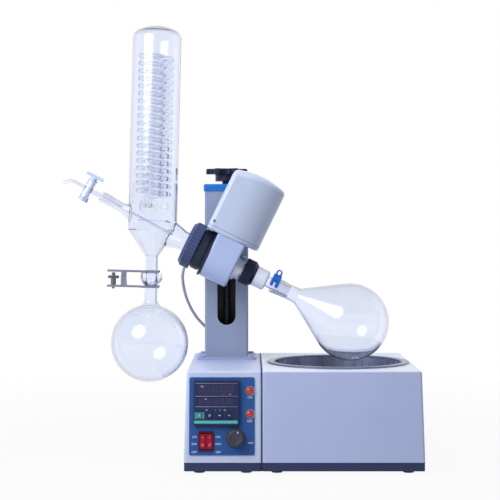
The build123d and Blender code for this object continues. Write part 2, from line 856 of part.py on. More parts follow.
# Motor cover: a shell of the same outline with a crowned top, open below, that stands on the pan
cover_span = cover_straight + cover_length
crown_radius = ((cover_span / 2) ** 2 + cover_crown**2) / (2 * cover_crown)
crown_t = cover_left + cover_span / 2
crown_v = seam_v + cover_height + cover_crown - crown_radius
with BuildPart() as cover_hollow:
    with BuildSketch(above_drive(seam_v)):
        with BuildLine():
            Polyline(
                (ellipse_t, cover_half - cover_wall),
                (cover_left + cover_wall, cover_half - cover_wall),
                (cover_left + cover_wall, cover_wall - cover_half),
                (ellipse_t, cover_wall - cover_half),
            )
            EllipticalCenterArc(
                (ellipse_t, 0),
                cover_length - cover_wall,
                cover_half - cover_wall,
                -90,
                arc_size=180,
            )
        make_face()
    extrude(amount=cover_height)
    with Locations(above_drive(crown_v)):
        with Locations((crown_t, 0)):
            Sphere(crown_radius - cover_wall - cover_edge / 2, mode=Mode.INTERSECT)
with BuildPart() as motor_cover:
    with BuildSketch(above_drive(seam_v)):
        with BuildLine():
            Polyline(
                (ellipse_t, cover_half),
                (cover_left, cover_half),
                (cover_left, -cover_half),
                (ellipse_t, -cover_half),
            )
            EllipticalCenterArc((ellipse_t, 0), cover_length, cover_half, -90, arc_size=180)
        make_face()
    extrude(amount=cover_height + cover_crown)
    corners = motor_cover.edges().filter_by(Axis(drive_origin, drive_v))
    fillet(corners.sort_by(Axis(drive_origin, drive_t))[:2], cover_corner)
    with Locations(above_drive(crown_v)):
        with Locations((crown_t, 0)):
            Sphere(crown_radius, mode=Mode.INTERSECT)
    above = motor_cover.faces().sort_by(Axis(drive_origin, drive_v))[-1]
    fillet(above.edges(), cover_edge)
    add(cover_hollow.part, mode=Mode.SUBTRACT)
motor_cover.part.label = "motor_cover"
export_step(motor_cover.part, "parts/motor_cover.step")

# Condenser flange: a plate against the gear case, a grip ring and the threaded neck
with BuildPart() as condenser_flange:
    with BuildSketch(drive_side):
        with BuildLine():
            Polyline(
                (-case_half, flange_bore),
                (-case_half, plate_radius),
                (plate_end, plate_radius),
                (plate_end, thread_radius),
                (ring_start, thread_radius),
                (ring_start, ring_radius),
                (ring_end, ring_radius),
                (ring_end, thread_radius),
                (flange_end, thread_radius),
                (flange_end, flange_bore),
                close=True,
            )
        make_face()
    revolve(axis=drive_axis)
    with Locations(above_drive(case_flat)):
        Box(120, 120, 20, align=FROM_BASE, mode=Mode.SUBTRACT)
condenser_flange.part.label = "condenser_flange"
export_step(condenser_flange.part, "parts/condenser_flange.step")

# Ring seal between the flange's bore and the glass duct
with BuildPart() as shaft_seal:
    with Locations(across_drive(flange_end)):
        Cylinder(
            flange_bore - run_gap, ring_end - 2 * seat_gap - flange_end, align=FROM_BASE
        )
        Cylinder(
            duct_radius + run_gap,
            ring_end - flange_end,
            align=FROM_BASE,
            mode=Mode.SUBTRACT,
        )
shaft_seal.part.label = "shaft_seal"
export_step(shaft_seal.part, "parts/shaft_seal.step")

# Union nut: a ribbed ring that holds the condenser's side arm against the flange
with BuildPart() as union_nut:
    with BuildSketch(drive_side):
        with BuildLine():
            Polyline(
                (nut_start, thread_radius + seat_gap),
                (nut_start, nut_radius),
                (nut_end + nut_chamfer, nut_radius),
                (nut_end, nut_radius - nut_chamfer),
                (nut_end, arm_end_radius - 2),
                (nut_end + nut_lip, arm_end_radius - 2),
                (nut_end + nut_lip, thread_radius + seat_gap),
                close=True,
            )
        make_face()
    revolve(axis=drive_axis)
    rib_half = pi * nut_radius / nut_ribs / 2
    with BuildSketch(across_drive(nut_start)):
        with PolarLocations(nut_radius + rib_half - rib_depth, nut_ribs):
            Circle(rib_half)
    extrude(amount=nut_end + nut_chamfer - nut_start, mode=Mode.SUBTRACT)
union_nut.part.label = "union_nut"
export_step(union_nut.part, "parts/union_nut.step")

# Stepped collar on the flask side of the gear case
with BuildPart() as bearing_collar:
    with Locations(across_drive(case_half)):
        Cylinder(collar_radius, collar_step - case_half, align=FROM_BASE)
        Cylinder(collar_step_radius, collar_end - case_half, align=FROM_BASE)
        Cylinder(
            shaft_radius + seat_gap,
            collar_end - case_half,
            align=FROM_BASE,
            mode=Mode.SUBTRACT,
        )
bearing_collar.part.label = "bearing_collar"
export_step(bearing_collar.part, "parts/bearing_collar.step")

# Ribbed nut that pushes the flask off its joint
with BuildPart() as eject_nut:
    eject_break = eject_end - 6
    with BuildSketch(drive_side):
        with BuildLine():
            Polyline(
                (eject_start, shaft_radius + run_gap),
                (eject_start, eject_radius - 1),
                (eject_start + 1, eject_radius),
                (eject_break, eject_radius),
                (eject_end, eject_end_radius),
                (eject_end, shaft_radius + run_gap),
                close=True,
            )
        make_face()
    revolve(axis=drive_axis)
    rib_half = pi * eject_radius / eject_ribs / 2
    with BuildSketch(across_drive(eject_start)):
        with PolarLocations(eject_radius + rib_half - rib_depth, eject_ribs):
            Circle(rib_half)
    extrude(amount=eject_break - eject_start, mode=Mode.SUBTRACT)
eject_nut.part.label = "eject_nut"
export_step(eject_nut.part, "parts/eject_nut.step")

# White sleeve that holds the glass duct on the shaft's end
with BuildPart() as duct_sleeve:
    with Locations(across_drive(eject_end)):
        Cylinder(sleeve_radius, sleeve_end - eject_end, align=FROM_BASE)
    last = duct_sleeve.faces().sort_by(Axis(drive_origin, drive_t))[-1]
    chamfer(last.edges(), sleeve_chamfer)
    with Locations(across_drive(eject_end)):
        Cylinder(
            duct_radius + run_gap, sleeve_end - eject_end, align=FROM_BASE, mode=Mode.SUBTRACT
        )
duct_sleeve.part.label = "duct_sleeve"
export_step(duct_sleeve.part, "parts/duct_sleeve.step")

# Vapour duct: a glass tube through the shaft with a bead and a ground cone at its end
cone_end = joint_start + joint_length - 0.5
cone_end_radius = joint_radius - joint_taper * (cone_end - joint_start)
bead_start = joint_start - bead_width - seat_gap
with BuildPart() as vapour_duct:
    with BuildSketch(drive_side):
        with BuildLine():
            Polyline(
                (flange_end, duct_radius - duct_wall),
                (flange_end, duct_radius),
                (bead_start, duct_radius),
                (bead_start, joint_radius + 2),
                (joint_start - seat_gap, joint_radius + 2),
                (joint_start - seat_gap, joint_radius),
                (cone_end, cone_end_radius),
                (cone_end, duct_radius - duct_wall),
                close=True,
            )
        make_face()
    revolve(axis=drive_axis)
vapour_duct.part.label = "vapour_duct"
export_step(vapour_duct.part, "parts/vapour_duct.step")

# Evaporating flask: a pear-shaped bulb under a ground socket
outer_join = tangent_from((neck_end, neck_radius), flask_centre, flask_radius)
inner_join = tangent_from(
    (neck_end, neck_radius - glass_wall), flask_centre, flask_radius - glass_wall
)
outer_middle = radians(40)
socket_end = joint_start + joint_length
socket_wall_radius = joint_radius + run_gap
with BuildPart() as evaporating_flask:
    with BuildSketch(drive_side):
        with BuildLine():
            Polyline(
                (joint_start, socket_wall_radius),
                (joint_start, bead_radius),
                (joint_start + bead_width, bead_radius),
                (joint_start + bead_width, socket_wall_radius + glass_wall),
                (socket_end, neck_radius - 1),
                (neck_end, neck_radius),
                outer_join,
            )
            ThreePointArc(
                outer_join,
                (
                    flask_centre + flask_radius * cos(outer_middle),
                    flask_radius * sin(outer_middle),
                ),
                (flask_centre + flask_radius, 0),
            )
            Line((flask_centre + flask_radius, 0), (flask_centre + flask_radius - glass_wall, 0))
            ThreePointArc(
                (flask_centre + flask_radius - glass_wall, 0),
                (
                    flask_centre + (flask_radius - glass_wall) * cos(outer_middle),
                    (flask_radius - glass_wall) * sin(outer_middle),
                ),
                inner_join,
            )
            Polyline(
                inner_join,
                (neck_end, neck_radius - glass_wall),
                (socket_end, socket_wall_radius - joint_taper * joint_length),
                (joint_start, socket_wall_radius),
            )
        make_face()
    revolve(axis=drive_axis)
evaporating_flask.part.label = "evaporating_flask"
export_step(evaporating_flask.part, "parts/evaporating_flask.step")

# Joint clip: two open rings, one behind each bead, with a bridge and an eyed tab on top
clip_start = bead_start - seat_gap - 3
clip_end = joint_start + bead_width + seat_gap + 4
clip_radius = 18.5
clip_inside = bead_radius + seat_gap
clip_tab = 27.0
clip_tab_width = 10.4
clip_tab_half = 4.5
clip_eye_radius = 2.6
tab_middle = (clip_start + clip_end) / 2
eye_v = clip_tab - clip_tab_width / 2
with BuildPart() as joint_clip:
    with Locations(across_drive(clip_start)):
        Cylinder(clip_radius, clip_end - clip_start, align=FROM_BASE)
        Cylinder(duct_radius + seat_gap, 3, align=FROM_BASE, mode=Mode.SUBTRACT)
    with Locations(across_drive(clip_start + 3)):
        Cylinder(clip_inside, clip_end - clip_start - 7, align=FROM_BASE, mode=Mode.SUBTRACT)
    with Locations(across_drive(clip_end - 4)):
        Cylinder(
            socket_wall_radius + glass_wall + seat_gap, 4, align=FROM_BASE, mode=Mode.SUBTRACT
        )
    with BuildSketch(drive_side):
        with Locations((tab_middle, clip_inside + 1)):
            Rectangle(clip_tab_width, eye_v - clip_inside - 1, align=(Align.CENTER, Align.MIN))
        with Locations((tab_middle, eye_v)):
            Circle(clip_tab_width / 2)
            Circle(clip_eye_radius, mode=Mode.SUBTRACT)
    extrude(amount=clip_tab_half, both=True)
    with Locations(above_drive(-4)):
        with Locations(((clip_start + clip_end) / 2, 0)):
            Box(40, 60, 40, align=FROM_TOP, mode=Mode.SUBTRACT)
    with Locations(above_drive(8)):
        with Locations(((clip_start + clip_end) / 2, 0)):
            Box(4, 60, 12, align=FROM_TOP, mode=Mode.SUBTRACT)
joint_clip.part.label = "joint_clip"
export_step(joint_clip.part, "parts/joint_clip.step")

# Condenser glass: ball, neck, cone and jacket with a domed top, open inside. The side arm
# runs down the drive axis, the feed port rises to the left and two bosses face the rear.
ball_low = ball_s - sqrt(ball_radius**2 - (neck_bore + 1.3) ** 2)
dome_s = condenser_top - dome_height
jacket_bore = jacket_radius - jacket_wall
arm_bore = arm_radius - jacket_wall
arm_end_bore = arm_end_radius - jacket_wall
arm_flange_face = flange_end - seat_gap
arm_flange_back = nut_end + nut_lip + seat_gap
arm_inner = arm_end - 22
boss_wall_y = 26.0
boss_plate = 2.5
nipple_spacing = 11.0
with BuildPart() as condenser_glass:
    with BuildSketch(glass_side):
        with BuildLine():
            Polyline((0, ball_low), (neck_bore + 1.3, ball_low))
            ThreePointArc(
                (neck_bore + 1.3, ball_low),
                (ball_radius * cos(radians(30)), ball_s - ball_radius * sin(radians(30))),
                (ball_radius, ball_s),
            )
            Polyline(
                (ball_radius, ball_s),
                (ball_radius, ball_shoulder - 1.5),
                (ball_radius - 1.5, ball_shoulder),
                (neck_outer, ball_shoulder),
                (neck_outer, throat_s),
                (jacket_radius, chamber_s),
                (jacket_radius, dome_s),
            )
            for arc in dome_arcs(jacket_radius, dome_height, dome_corner, dome_s):
                ThreePointArc(*arc)
            Line((0, condenser_top), (0, ball_low))
        make_face()
    revolve(axis=glass_axis)
    with BuildSketch(drive_side):
        with BuildLine():
            Polyline(
                (arm_flange_face, 0),
                (arm_flange_face, arm_flange_radius),
                (arm_flange_back, arm_flange_radius),
                (arm_flange_back, arm_radius),
                (arm_flange_back - 12, arm_radius),
                (arm_end, arm_end_radius),
                (arm_inner, arm_end_radius),
                (arm_inner, 0),
                close=True,
            )
        make_face()
    revolve(axis=drive_axis)
    with BuildSketch(port_side):
        with BuildLine():
            Polyline(
                (port_wall_q - 8, 0),
                (port_wall_q - 8, port_base_radius),
                (port_wall_q, port_base_radius),
                (port_wall_q + 20, port_neck_radius),
                (port_socket_end - bead_width, port_neck_radius + 0.8),
                (port_socket_end - bead_width, port_rim_radius),
                (port_socket_end, port_rim_radius),
                (port_socket_end, 0),
                close=True,
            )
        make_face()
    revolve(axis=port_axis)
    with Locations(behind_glass(large_boss_x, boss_wall_y, boss_s)):
        Cylinder(large_boss_radius, boss_end - boss_wall_y, align=FROM_BASE)
    with Locations(behind_glass(large_boss_x, boss_end, boss_s)):
        with GridLocations(nipple_spacing, 1, 2, 1):
            Cylinder(nipple_radius, nipple_length, align=FROM_BASE)
    with Locations(behind_glass(small_boss_x, boss_wall_y, boss_s)):
        Cylinder(small_boss_radius, boss_end - 8 - boss_wall_y, align=FROM_BASE)
    with Locations(behind_glass(small_boss_x, boss_end - 8, boss_s)):
        Cylinder(nipple_radius, nipple_length, align=FROM_BASE)
    with BuildSketch(glass_side):
        with BuildLine():
            Polyline(
                (0, ball_low),
                (neck_bore, ball_low),
                (neck_bore, throat_s + 1),
                (jacket_bore, chamber_s + 1),
                (jacket_bore, dome_s),
            )
            for arc in dome_arcs(
                jacket_bore, dome_height - jacket_wall, dome_corner - jacket_wall, dome_s
            ):
                ThreePointArc(*arc)
            Line((0, condenser_top - jacket_wall), (0, ball_low))
        make_face()
    revolve(axis=glass_axis, mode=Mode.SUBTRACT)
    with BuildSketch(drive_side):
        with BuildLine():
            Polyline(
                (arm_flange_face, 0),
                (arm_flange_face, arm_bore),
                (arm_flange_back - 12, arm_bore),
                (arm_end, arm_end_bore),
                (arm_inner, arm_end_bore),
                (arm_inner, 0),
                close=True,
            )
        make_face()
    revolve(axis=drive_axis, mode=Mode.SUBTRACT)
    port_inner = port_bore - joint_taper * (port_socket_end - port_socket_start)
    with BuildSketch(port_side):
        with BuildLine():
            Polyline(
                (port_wall_q - 8, 0),
                (port_wall_q - 8, port_base_radius - jacket_wall),
                (port_wall_q, port_base_radius - jacket_wall),
                (port_wall_q + 20, port_inner),
                (port_socket_start, port_inner),
                (port_socket_end, port_bore),
                (port_socket_end, 0),
                close=True,
            )
        make_face()
    revolve(axis=port_axis, mode=Mode.SUBTRACT)
    with Locations(behind_glass(large_boss_x, boss_wall_y, boss_s)):
        Cylinder(
            large_boss_radius - jacket_wall,
            boss_end - boss_plate - boss_wall_y,
            align=FROM_BASE,
            mode=Mode.SUBTRACT,
        )
    with Locations(behind_glass(large_boss_x, boss_end - boss_plate, boss_s)):
        with GridLocations(nipple_spacing, 1, 2, 1):
            Cylinder(
                nipple_bore, nipple_length + boss_plate, align=FROM_BASE, mode=Mode.SUBTRACT
            )
    with Locations(behind_glass(small_boss_x, boss_wall_y, boss_s)):
        Cylinder(
            small_boss_radius - jacket_wall,
            boss_end - 8 - boss_plate - boss_wall_y,
            align=FROM_BASE,
            mode=Mode.SUBTRACT,
        )
        Cylinder(
            nipple_bore,
            boss_end - 8 + nipple_length - boss_wall_y,
            align=FROM_BASE,
            mode=Mode.SUBTRACT,
        )
    with BuildSketch(across_glass(shelf_s)):
        Circle(jacket_bore + 0.5)
        Circle(shelf_radius, mode=Mode.SUBTRACT)
    extrude(amount=shelf_thickness)
    with BuildSketch(across_glass(shelf_s)):
        Circle(shelf_radius + shelf_thickness)
        Circle(shelf_radius, mode=Mode.SUBTRACT)
    extrude(amount=shelf_height)
condenser_glass.part.label = "condenser_glass"
export_step(condenser_glass.part, "parts/condenser_glass.step")

# Cooling coil: an outer and an inner helix joined by a bend on top, both left-handed, with
# tails that run down and out through the large boss to the water nipples. It is drawn
# upright with x to the rear, then set on the condenser's axis.
coil_height = coil_pitch * coil_turns
tail_reach = boss_end - boss_plate - seat_gap
outer_tail_y = nipple_spacing / 2 - large_boss_x
inner_tail_y = -nipple_spacing / 2 - large_boss_x
with BuildPart() as coil_upright:
    for radius, tail_y, bend in (
        (coil_radius, outer_tail_y, 7.5),
        (inner_coil_radius, inner_tail_y, 5.0),
    ):
        with BuildLine() as turns:
            Helix(coil_pitch, coil_height, radius, center=(0, 0, coil_start), lefthand=True)
        with BuildSketch(Plane(turns.line @ 0, z_dir=turns.line % 0)):
            Circle(coil_tube)
        sweep(path=turns.line, is_frenet=True)
        with BuildLine() as tail:
            FilletPolyline(
                (radius, 0, coil_start),
                (radius, tail_y, coil_start),
                (radius, tail_y, boss_s),
                (tail_reach, tail_y, boss_s),
                radius=bend,
            )
        with BuildSketch(Plane(tail.line @ 0, z_dir=tail.line % 0)):
            Circle(coil_tube)
        sweep(path=tail.line)
        with Locations((radius, 0, coil_start), (radius, 0, coil_start + coil_height)):
            Sphere(coil_tube + 0.5)
    bend_radius = (coil_radius - inner_coil_radius) / 2
    with BuildLine() as crossing:
        ThreePointArc(
            (coil_radius, 0, coil_start + coil_height),
            (coil_radius - bend_radius, -bend_radius, coil_start + coil_height),
            (inner_coil_radius, 0, coil_start + coil_height),
        )
    with BuildSketch(Plane(crossing.line @ 0, z_dir=crossing.line % 0)):
        Circle(coil_tube)
    sweep(path=crossing.line)

coil_frame = Plane(glass_origin, x_dir=(0, 1, 0), z_dir=glass_up)
with BuildPart() as condenser_coil:
    add(coil_upright.part.moved(coil_frame.location))
condenser_coil.part.label = "condenser_coil"
export_step(condenser_coil.part, "parts/condenser_coil.step")

# Feed valve: a ground cone in the port, a barrel for the key, a bent tip outside and a thin
# feed tube inside that reaches into the side arm
cone_inner_q = port_socket_start + 2
cone_inner_radius = port_inner + joint_taper * 2 - run_gap
with BuildPart() as feed_valve:
    with BuildSketch(port_side):
        with BuildLine():
            Polyline(
                (feed_tube_end, 0),
                (feed_tube_end, feed_tube_radius),
                (cone_inner_q, feed_tube_radius),
                (cone_inner_q, cone_inner_radius),
                (port_socket_end, port_bore - run_gap),
                (port_socket_end + seat_gap, port_neck_radius),
                (port_socket_end + seat_gap + bead_width, port_neck_radius),
                (port_socket_end + seat_gap + bead_width, feed_tube_radius + 2),
                (barrel_q, feed_tube_radius + 2),
                (barrel_q, 0),
                close=True,
            )
        make_face()
    revolve(axis=port_axis)
    barrel_base = Plane(
        port_origin + port_q * barrel_q - port_side.y_dir * barrel_half,
        x_dir=port_q,
        z_dir=port_side.y_dir,
    )
    with Locations(barrel_base):
        Cylinder(barrel_radius, 2 * barrel_half, align=FROM_BASE)
    with BuildLine(port_side) as tip:
        Line((barrel_q, 0), (barrel_q + tip_run, 0))
        JernArc((barrel_q + tip_run, 0), (1, 0), tip_bend, -tip_angle)
    with BuildSketch(across_port(barrel_q)):
        Circle(tip_radius)
    sweep(path=tip.wires()[0])
    with Locations(barrel_base):
        Cylinder(key_radius + run_gap, 2 * barrel_half, align=FROM_BASE, mode=Mode.SUBTRACT)
    with Locations(across_port(feed_tube_end)):
        Cylinder(
            feed_tube_bore, barrel_q - feed_tube_end, align=FROM_BASE, mode=Mode.SUBTRACT
        )
    with BuildSketch(across_port(barrel_q)):
        Circle(tip_bore)
    sweep(path=tip.wires()[0], mode=Mode.SUBTRACT)
feed_valve.part.label = "feed_valve"
export_step(feed_valve.part, "parts/feed_valve.step")

# Stopcock key: a bored plug with a paddle handle above and a threaded end below
key_low = -barrel_half - 7
with BuildPart() as stopcock_key:
    key_up = port_side.y_dir
    key_centre = port_origin + port_q * barrel_q
    with Locations(Plane(key_centre + key_up * key_low, x_dir=port_q, z_dir=key_up)):
        Cylinder(key_radius, handle_reach + 3 - key_low, align=FROM_BASE)
    with Locations(
        Plane(key_centre + key_up * (barrel_half + seat_gap), x_dir=port_q, z_dir=key_up)
    ):
        Cylinder(barrel_radius, 2, align=FROM_BASE)
    with Locations(Plane(key_centre + key_up * (handle_reach + 3), x_dir=port_q, z_dir=key_up)):
        Box(handle_length, handle_thickness, handle_width, align=FROM_BASE)
    handle = stopcock_key.edges().group_by(Axis(key_centre, key_up))[-1]
    fillet(handle, 2)
    with Locations(Plane(key_centre, x_dir=key_up, z_dir=port_q)):
        Cylinder(tip_bore, 4 * key_radius, mode=Mode.SUBTRACT)
stopcock_key.part.label = "stopcock_key"
export_step(stopcock_key.part, "parts/stopcock_key.step")

# Nut that draws the key into the barrel
with BuildPart() as stopcock_nut:
    with BuildSketch(Plane(key_centre + key_up * key_low, x_dir=port_q, z_dir=key_up)):
        RegularPolygon(barrel_radius + 0.5, 8)
        Circle(key_radius + run_gap, mode=Mode.SUBTRACT)
    extrude(amount=-key_low - barrel_half - seat_gap)
stopcock_nut.part.label = "stopcock_nut"
export_step(stopcock_nut.part, "parts/stopcock_nut.step")

# Receiving flask: a sphere with a neck and a spherical cup that takes the condenser's ball
cup_bore = ball_radius + slip_gap
cup_radius = cup_bore + cup_wall
cup_low = ball_s - sqrt(cup_radius**2 - neck_outer**2)
cup_bore_low = ball_s - sqrt(cup_bore**2 - neck_bore**2)
flask_bore = flask_radius - glass_wall
cup_drop = ball_s - cup_rim
flask_join = sqrt(flask_radius**2 - neck_outer**2)
bore_join = sqrt(flask_bore**2 - neck_bore**2)
with BuildPart() as receiving_flask:
    with BuildSketch(glass_side) as flask_half:
        with BuildLine():
            Line((neck_bore, bore_join), (neck_bore, cup_bore_low))
            ThreePointArc(
                (neck_bore, cup_bore_low),
                (cup_bore * cos(radians(40)), ball_s - cup_bore * sin(radians(40))),
                (sqrt(cup_bore**2 - cup_drop**2), cup_rim),
            )
            Line(
                (sqrt(cup_bore**2 - cup_drop**2), cup_rim),
                (sqrt(cup_radius**2 - cup_drop**2), cup_rim),
            )
            ThreePointArc(
                (sqrt(cup_radius**2 - cup_drop**2), cup_rim),
                (cup_radius * cos(radians(40)), ball_s - cup_radius * sin(radians(40))),
                (neck_outer, cup_low),
            )
            Line((neck_outer, cup_low), (neck_outer, flask_join))
            ThreePointArc(
                (neck_outer, flask_join),
                (flask_radius, 0),
                (0, -flask_radius),
            )
            Line((0, -flask_radius), (0, -flask_bore))
            ThreePointArc(
                (0, -flask_bore),
                (flask_bore, 0),
                (neck_bore, bore_join),
            )
        make_face()
        outer_corner = flask_half.vertices().sort_by_distance((neck_outer, flask_join))[0]
        fillet(outer_corner, neck_flare)
        bore_corner = flask_half.vertices().sort_by_distance((neck_bore, bore_join))[0]
        fillet(bore_corner, neck_flare + neck_outer - neck_bore)
    revolve(axis=glass_axis)
receiving_flask.part.label = "receiving_flask"
export_step(receiving_flask.part, "parts/receiving_flask.step")

# Clamp on the ball joint: a lower fork with two ears, a jaw, their pin and a screw
clamp_inner_s = clamp_lower_s + clamp_plate
ear_thickness = 4.0
hinge_s = clamp_inner_s + 11
clamp_head = clamp_fork + 5.7
with BuildPart() as clamp_fork_plate:
    with BuildSketch(across_glass(clamp_lower_s)):
        with Locations(((clamp_right - clamp_head) / 2, 0)):
            RectangleRounded(clamp_right + clamp_head, clamp_width, 4)
        with Locations((clamp_left / 2, 0)):
            RectangleRounded(-clamp_left, clamp_tail_width, 4)
        Circle(clamp_fork, mode=Mode.SUBTRACT)
        with Locations((clamp_head, 0)):
            Rectangle(2 * clamp_head, 2 * clamp_fork, mode=Mode.SUBTRACT)
        with Locations((clamp_screw_x, 0)):
            Circle(clamp_barrel_radius / 2 + run_gap, mode=Mode.SUBTRACT)
    extrude(amount=clamp_plate)
    with Locations(across_glass(clamp_inner_s)):
        with Locations((hinge_x, (clamp_tail_width - ear_thickness) / 2)):
            Box(hinge_width, ear_thickness, 16, align=FROM_BASE)
        with Locations((hinge_x, (ear_thickness - clamp_tail_width) / 2)):
            Box(hinge_width, ear_thickness, 16, align=FROM_BASE)
    with Locations(behind_glass(hinge_x, 0, hinge_s)):
        Cylinder(
            hinge_pin_radius + run_gap, 2 * clamp_tail_width, mode=Mode.SUBTRACT
        )
    with Locations(behind_glass(hinge_x, -clamp_tail_width / 2 - 1, hinge_s)):
        Cylinder(hinge_pin_radius, clamp_tail_width + 2, align=FROM_BASE)
clamp_fork_plate.part.label = "clamp_fork"
export_step(clamp_fork_plate.part, "parts/clamp_fork.step")

with BuildPart() as clamp_jaw:
    with BuildSketch(across_glass(clamp_upper_s)):
        with Locations(((clamp_right - clamp_head) / 2, 0)):
            RectangleRounded(clamp_right + clamp_head, clamp_width, 4)
        with Locations((clamp_left / 2, 0)):
            RectangleRounded(-clamp_left, clamp_tail_width, 4)
        Circle(clamp_fork, mode=Mode.SUBTRACT)
        with Locations((clamp_head, 0)):
            Rectangle(2 * clamp_head, 2 * clamp_fork, mode=Mode.SUBTRACT)
    extrude(amount=clamp_plate)
    tongue_width = clamp_tail_width - 2 * ear_thickness - 2 * seat_gap
    tongue_low = hinge_s - hinge_width / 2
    with Locations(across_glass(tongue_low)):
        with Locations((hinge_x, 0)):
            Box(hinge_width, tongue_width, clamp_upper_s - tongue_low, align=FROM_BASE)
    with Locations(behind_glass(hinge_x, 0, hinge_s)):
        Cylinder(
            hinge_pin_radius + run_gap, 2 * clamp_tail_width, mode=Mode.SUBTRACT
        )
clamp_jaw.part.label = "clamp_jaw"
export_step(clamp_jaw.part, "parts/clamp_jaw.step")

# Clamp screw: a knurled disc on a barrel, whose tip presses the jaw's tail
disc_s = clamp_inner_s + 11
jaw_play = 1.3
disc_notches = 24
with BuildPart() as clamp_screw:
    with Locations(across_glass(clamp_lower_s - 3)):
        with Locations((clamp_screw_x, 0)):
            Cylinder(clamp_barrel_radius / 2, clamp_plate + 3 + seat_gap, align=FROM_BASE)
    with Locations(across_glass(clamp_inner_s + seat_gap)):
        with Locations((clamp_screw_x, 0)):
            Cylinder(clamp_barrel_radius, disc_s - clamp_inner_s, align=FROM_BASE)
    with BuildSketch(across_glass(disc_s)):
        with Locations((clamp_screw_x, 0)):
            Circle(clamp_disc_radius)
            with PolarLocations(clamp_disc_radius, disc_notches):
                Circle(0.7, mode=Mode.SUBTRACT)
    extrude(amount=clamp_disc_height)
    with Locations(across_glass(disc_s)):
        with Locations((clamp_screw_x, 0)):
            Cylinder(3, clamp_upper_s - jaw_play - disc_s, align=FROM_BASE)
clamp_screw.part.label = "clamp_screw"
export_step(clamp_screw.part, "parts/clamp_screw.step")

# Control panel and what is on it
panel_x = (panel_left + panel_right) / 2
panel_z = (panel_low + panel_high) / 2
panel_slope = (panel_high - panel_low) / cos(front_tilt)
with BuildPart() as control_panel:
    with BuildSketch(on_front(panel_x, panel_z)):
        RectangleRounded(panel_right - panel_left, panel_slope, panel_corner)
    extrude(amount=panel_thickness)
    with Locations(on_front(meter_x, meter_z)):
        Box(meter_body + 2 * seat_gap, meter_body + 2 * seat_gap, 20, mode=Mode.SUBTRACT)
    for button_z in button_heights:
        with Locations(on_front(button_x, button_z)):
            Cylinder(button_radius + seat_gap, 20, mode=Mode.SUBTRACT)
    with Locations(on_front(rocker_x, rocker_z)):
        Box(rocker_frame_width - 1.4, rocker_frame_height - 1.4, 20, mode=Mode.SUBTRACT)
    with Locations(on_front(dial_x, dial_z)):
        Cylinder(motor_shaft_radius - 1 + seat_gap, 20, mode=Mode.SUBTRACT)
control_panel.part.label = "control_panel"
export_step(control_panel.part, "parts/control_panel.step")

# Temperature meter: a bezel with two display windows and pockets for four keys
with BuildPart() as temperature_meter:
    with BuildSketch(on_front(meter_x, meter_z, panel_thickness)):
        RectangleRounded(meter_size, meter_size, meter_corner)
    extrude(amount=meter_bezel)
    fillet(temperature_meter.faces().sort_by(Axis((0, 0, 0), front_out))[-1].edges(), 1.5)
    with Locations(on_front(meter_x, meter_z, panel_thickness)):
        Box(meter_body, meter_body, meter_depth, align=FROM_TOP)
    for window_z, window_height in (upper_window, lower_window):
        with Locations(on_front(meter_x, window_z, panel_thickness + meter_bezel)):
            Box(
                window_width, window_height, window_depth, align=FROM_TOP, mode=Mode.SUBTRACT
            )
    for offset in key_offsets:
        with Locations(on_front(meter_x + offset, key_z, panel_thickness + meter_bezel)):
            Box(
                key_size + 2 * seat_gap,
                key_size + 2 * seat_gap,
                3,
                align=FROM_TOP,
                mode=Mode.SUBTRACT,
            )
temperature_meter.part.label = "temperature_meter"
export_step(temperature_meter.part, "parts/temperature_meter.step")

for number, offset in enumerate(key_offsets, 1):
    with BuildPart() as meter_key:
        key_floor = panel_thickness + meter_bezel - 3 + key_travel + seat_gap
        with BuildSketch(on_front(meter_x + offset, key_z, key_floor)):
            RectangleRounded(key_size, key_size, 1)
        extrude(amount=3 - key_travel - seat_gap + key_proud)
    meter_key.part.label = f"meter_key_{number}"
    export_step(meter_key.part, f"parts/meter_key_{number}.step")

# Start and stop buttons in their holes
for name, button_z in zip(("start_button", "stop_button"), button_heights):
    with BuildPart() as push_button:
        with Locations(on_front(button_x, button_z, -12)):
            Cylinder(button_radius, 12 + panel_thickness + button_proud, align=FROM_BASE)
        fillet(push_button.faces().sort_by(Axis((0, 0, 0), front_out))[-1].edges(), 1.2)
    push_button.part.label = name
    export_step(push_button.part, f"parts/{name}.step")

# Frame of the twin rocker switch, with a pocket for each rocker and a pin through both
rocker_pocket = rocker_half + 0.9
rocker_step = rocker_width / 2 + 0.7
with BuildPart() as rocker_frame:
    with BuildSketch(on_front(rocker_x, rocker_z, panel_thickness)):
        RectangleRounded(rocker_frame_width, rocker_frame_height, 2)
    extrude(amount=2)
    with Locations(on_front(rocker_x, rocker_z, panel_thickness)):
        Box(rocker_frame_width - 2, rocker_frame_height - 2, 20, align=FROM_TOP)
    with Locations(on_front(rocker_x, rocker_z, panel_thickness + 2)):
        with GridLocations(2 * rocker_step, 1, 2, 1):
            Box(
                rocker_width + 2 * seat_gap,
                2 * rocker_pocket,
                9,
                align=FROM_TOP,
                mode=Mode.SUBTRACT,
            )
    pin_middle = on_front(rocker_x, rocker_z, panel_thickness).origin
    with Locations(Plane(pin_middle, z_dir=(1, 0, 0))):
        Cylinder(rocker_pin_radius, rocker_frame_width - 2)
rocker_frame.part.label = "rocker_frame"
export_step(rocker_frame.part, "parts/rocker_frame.step")

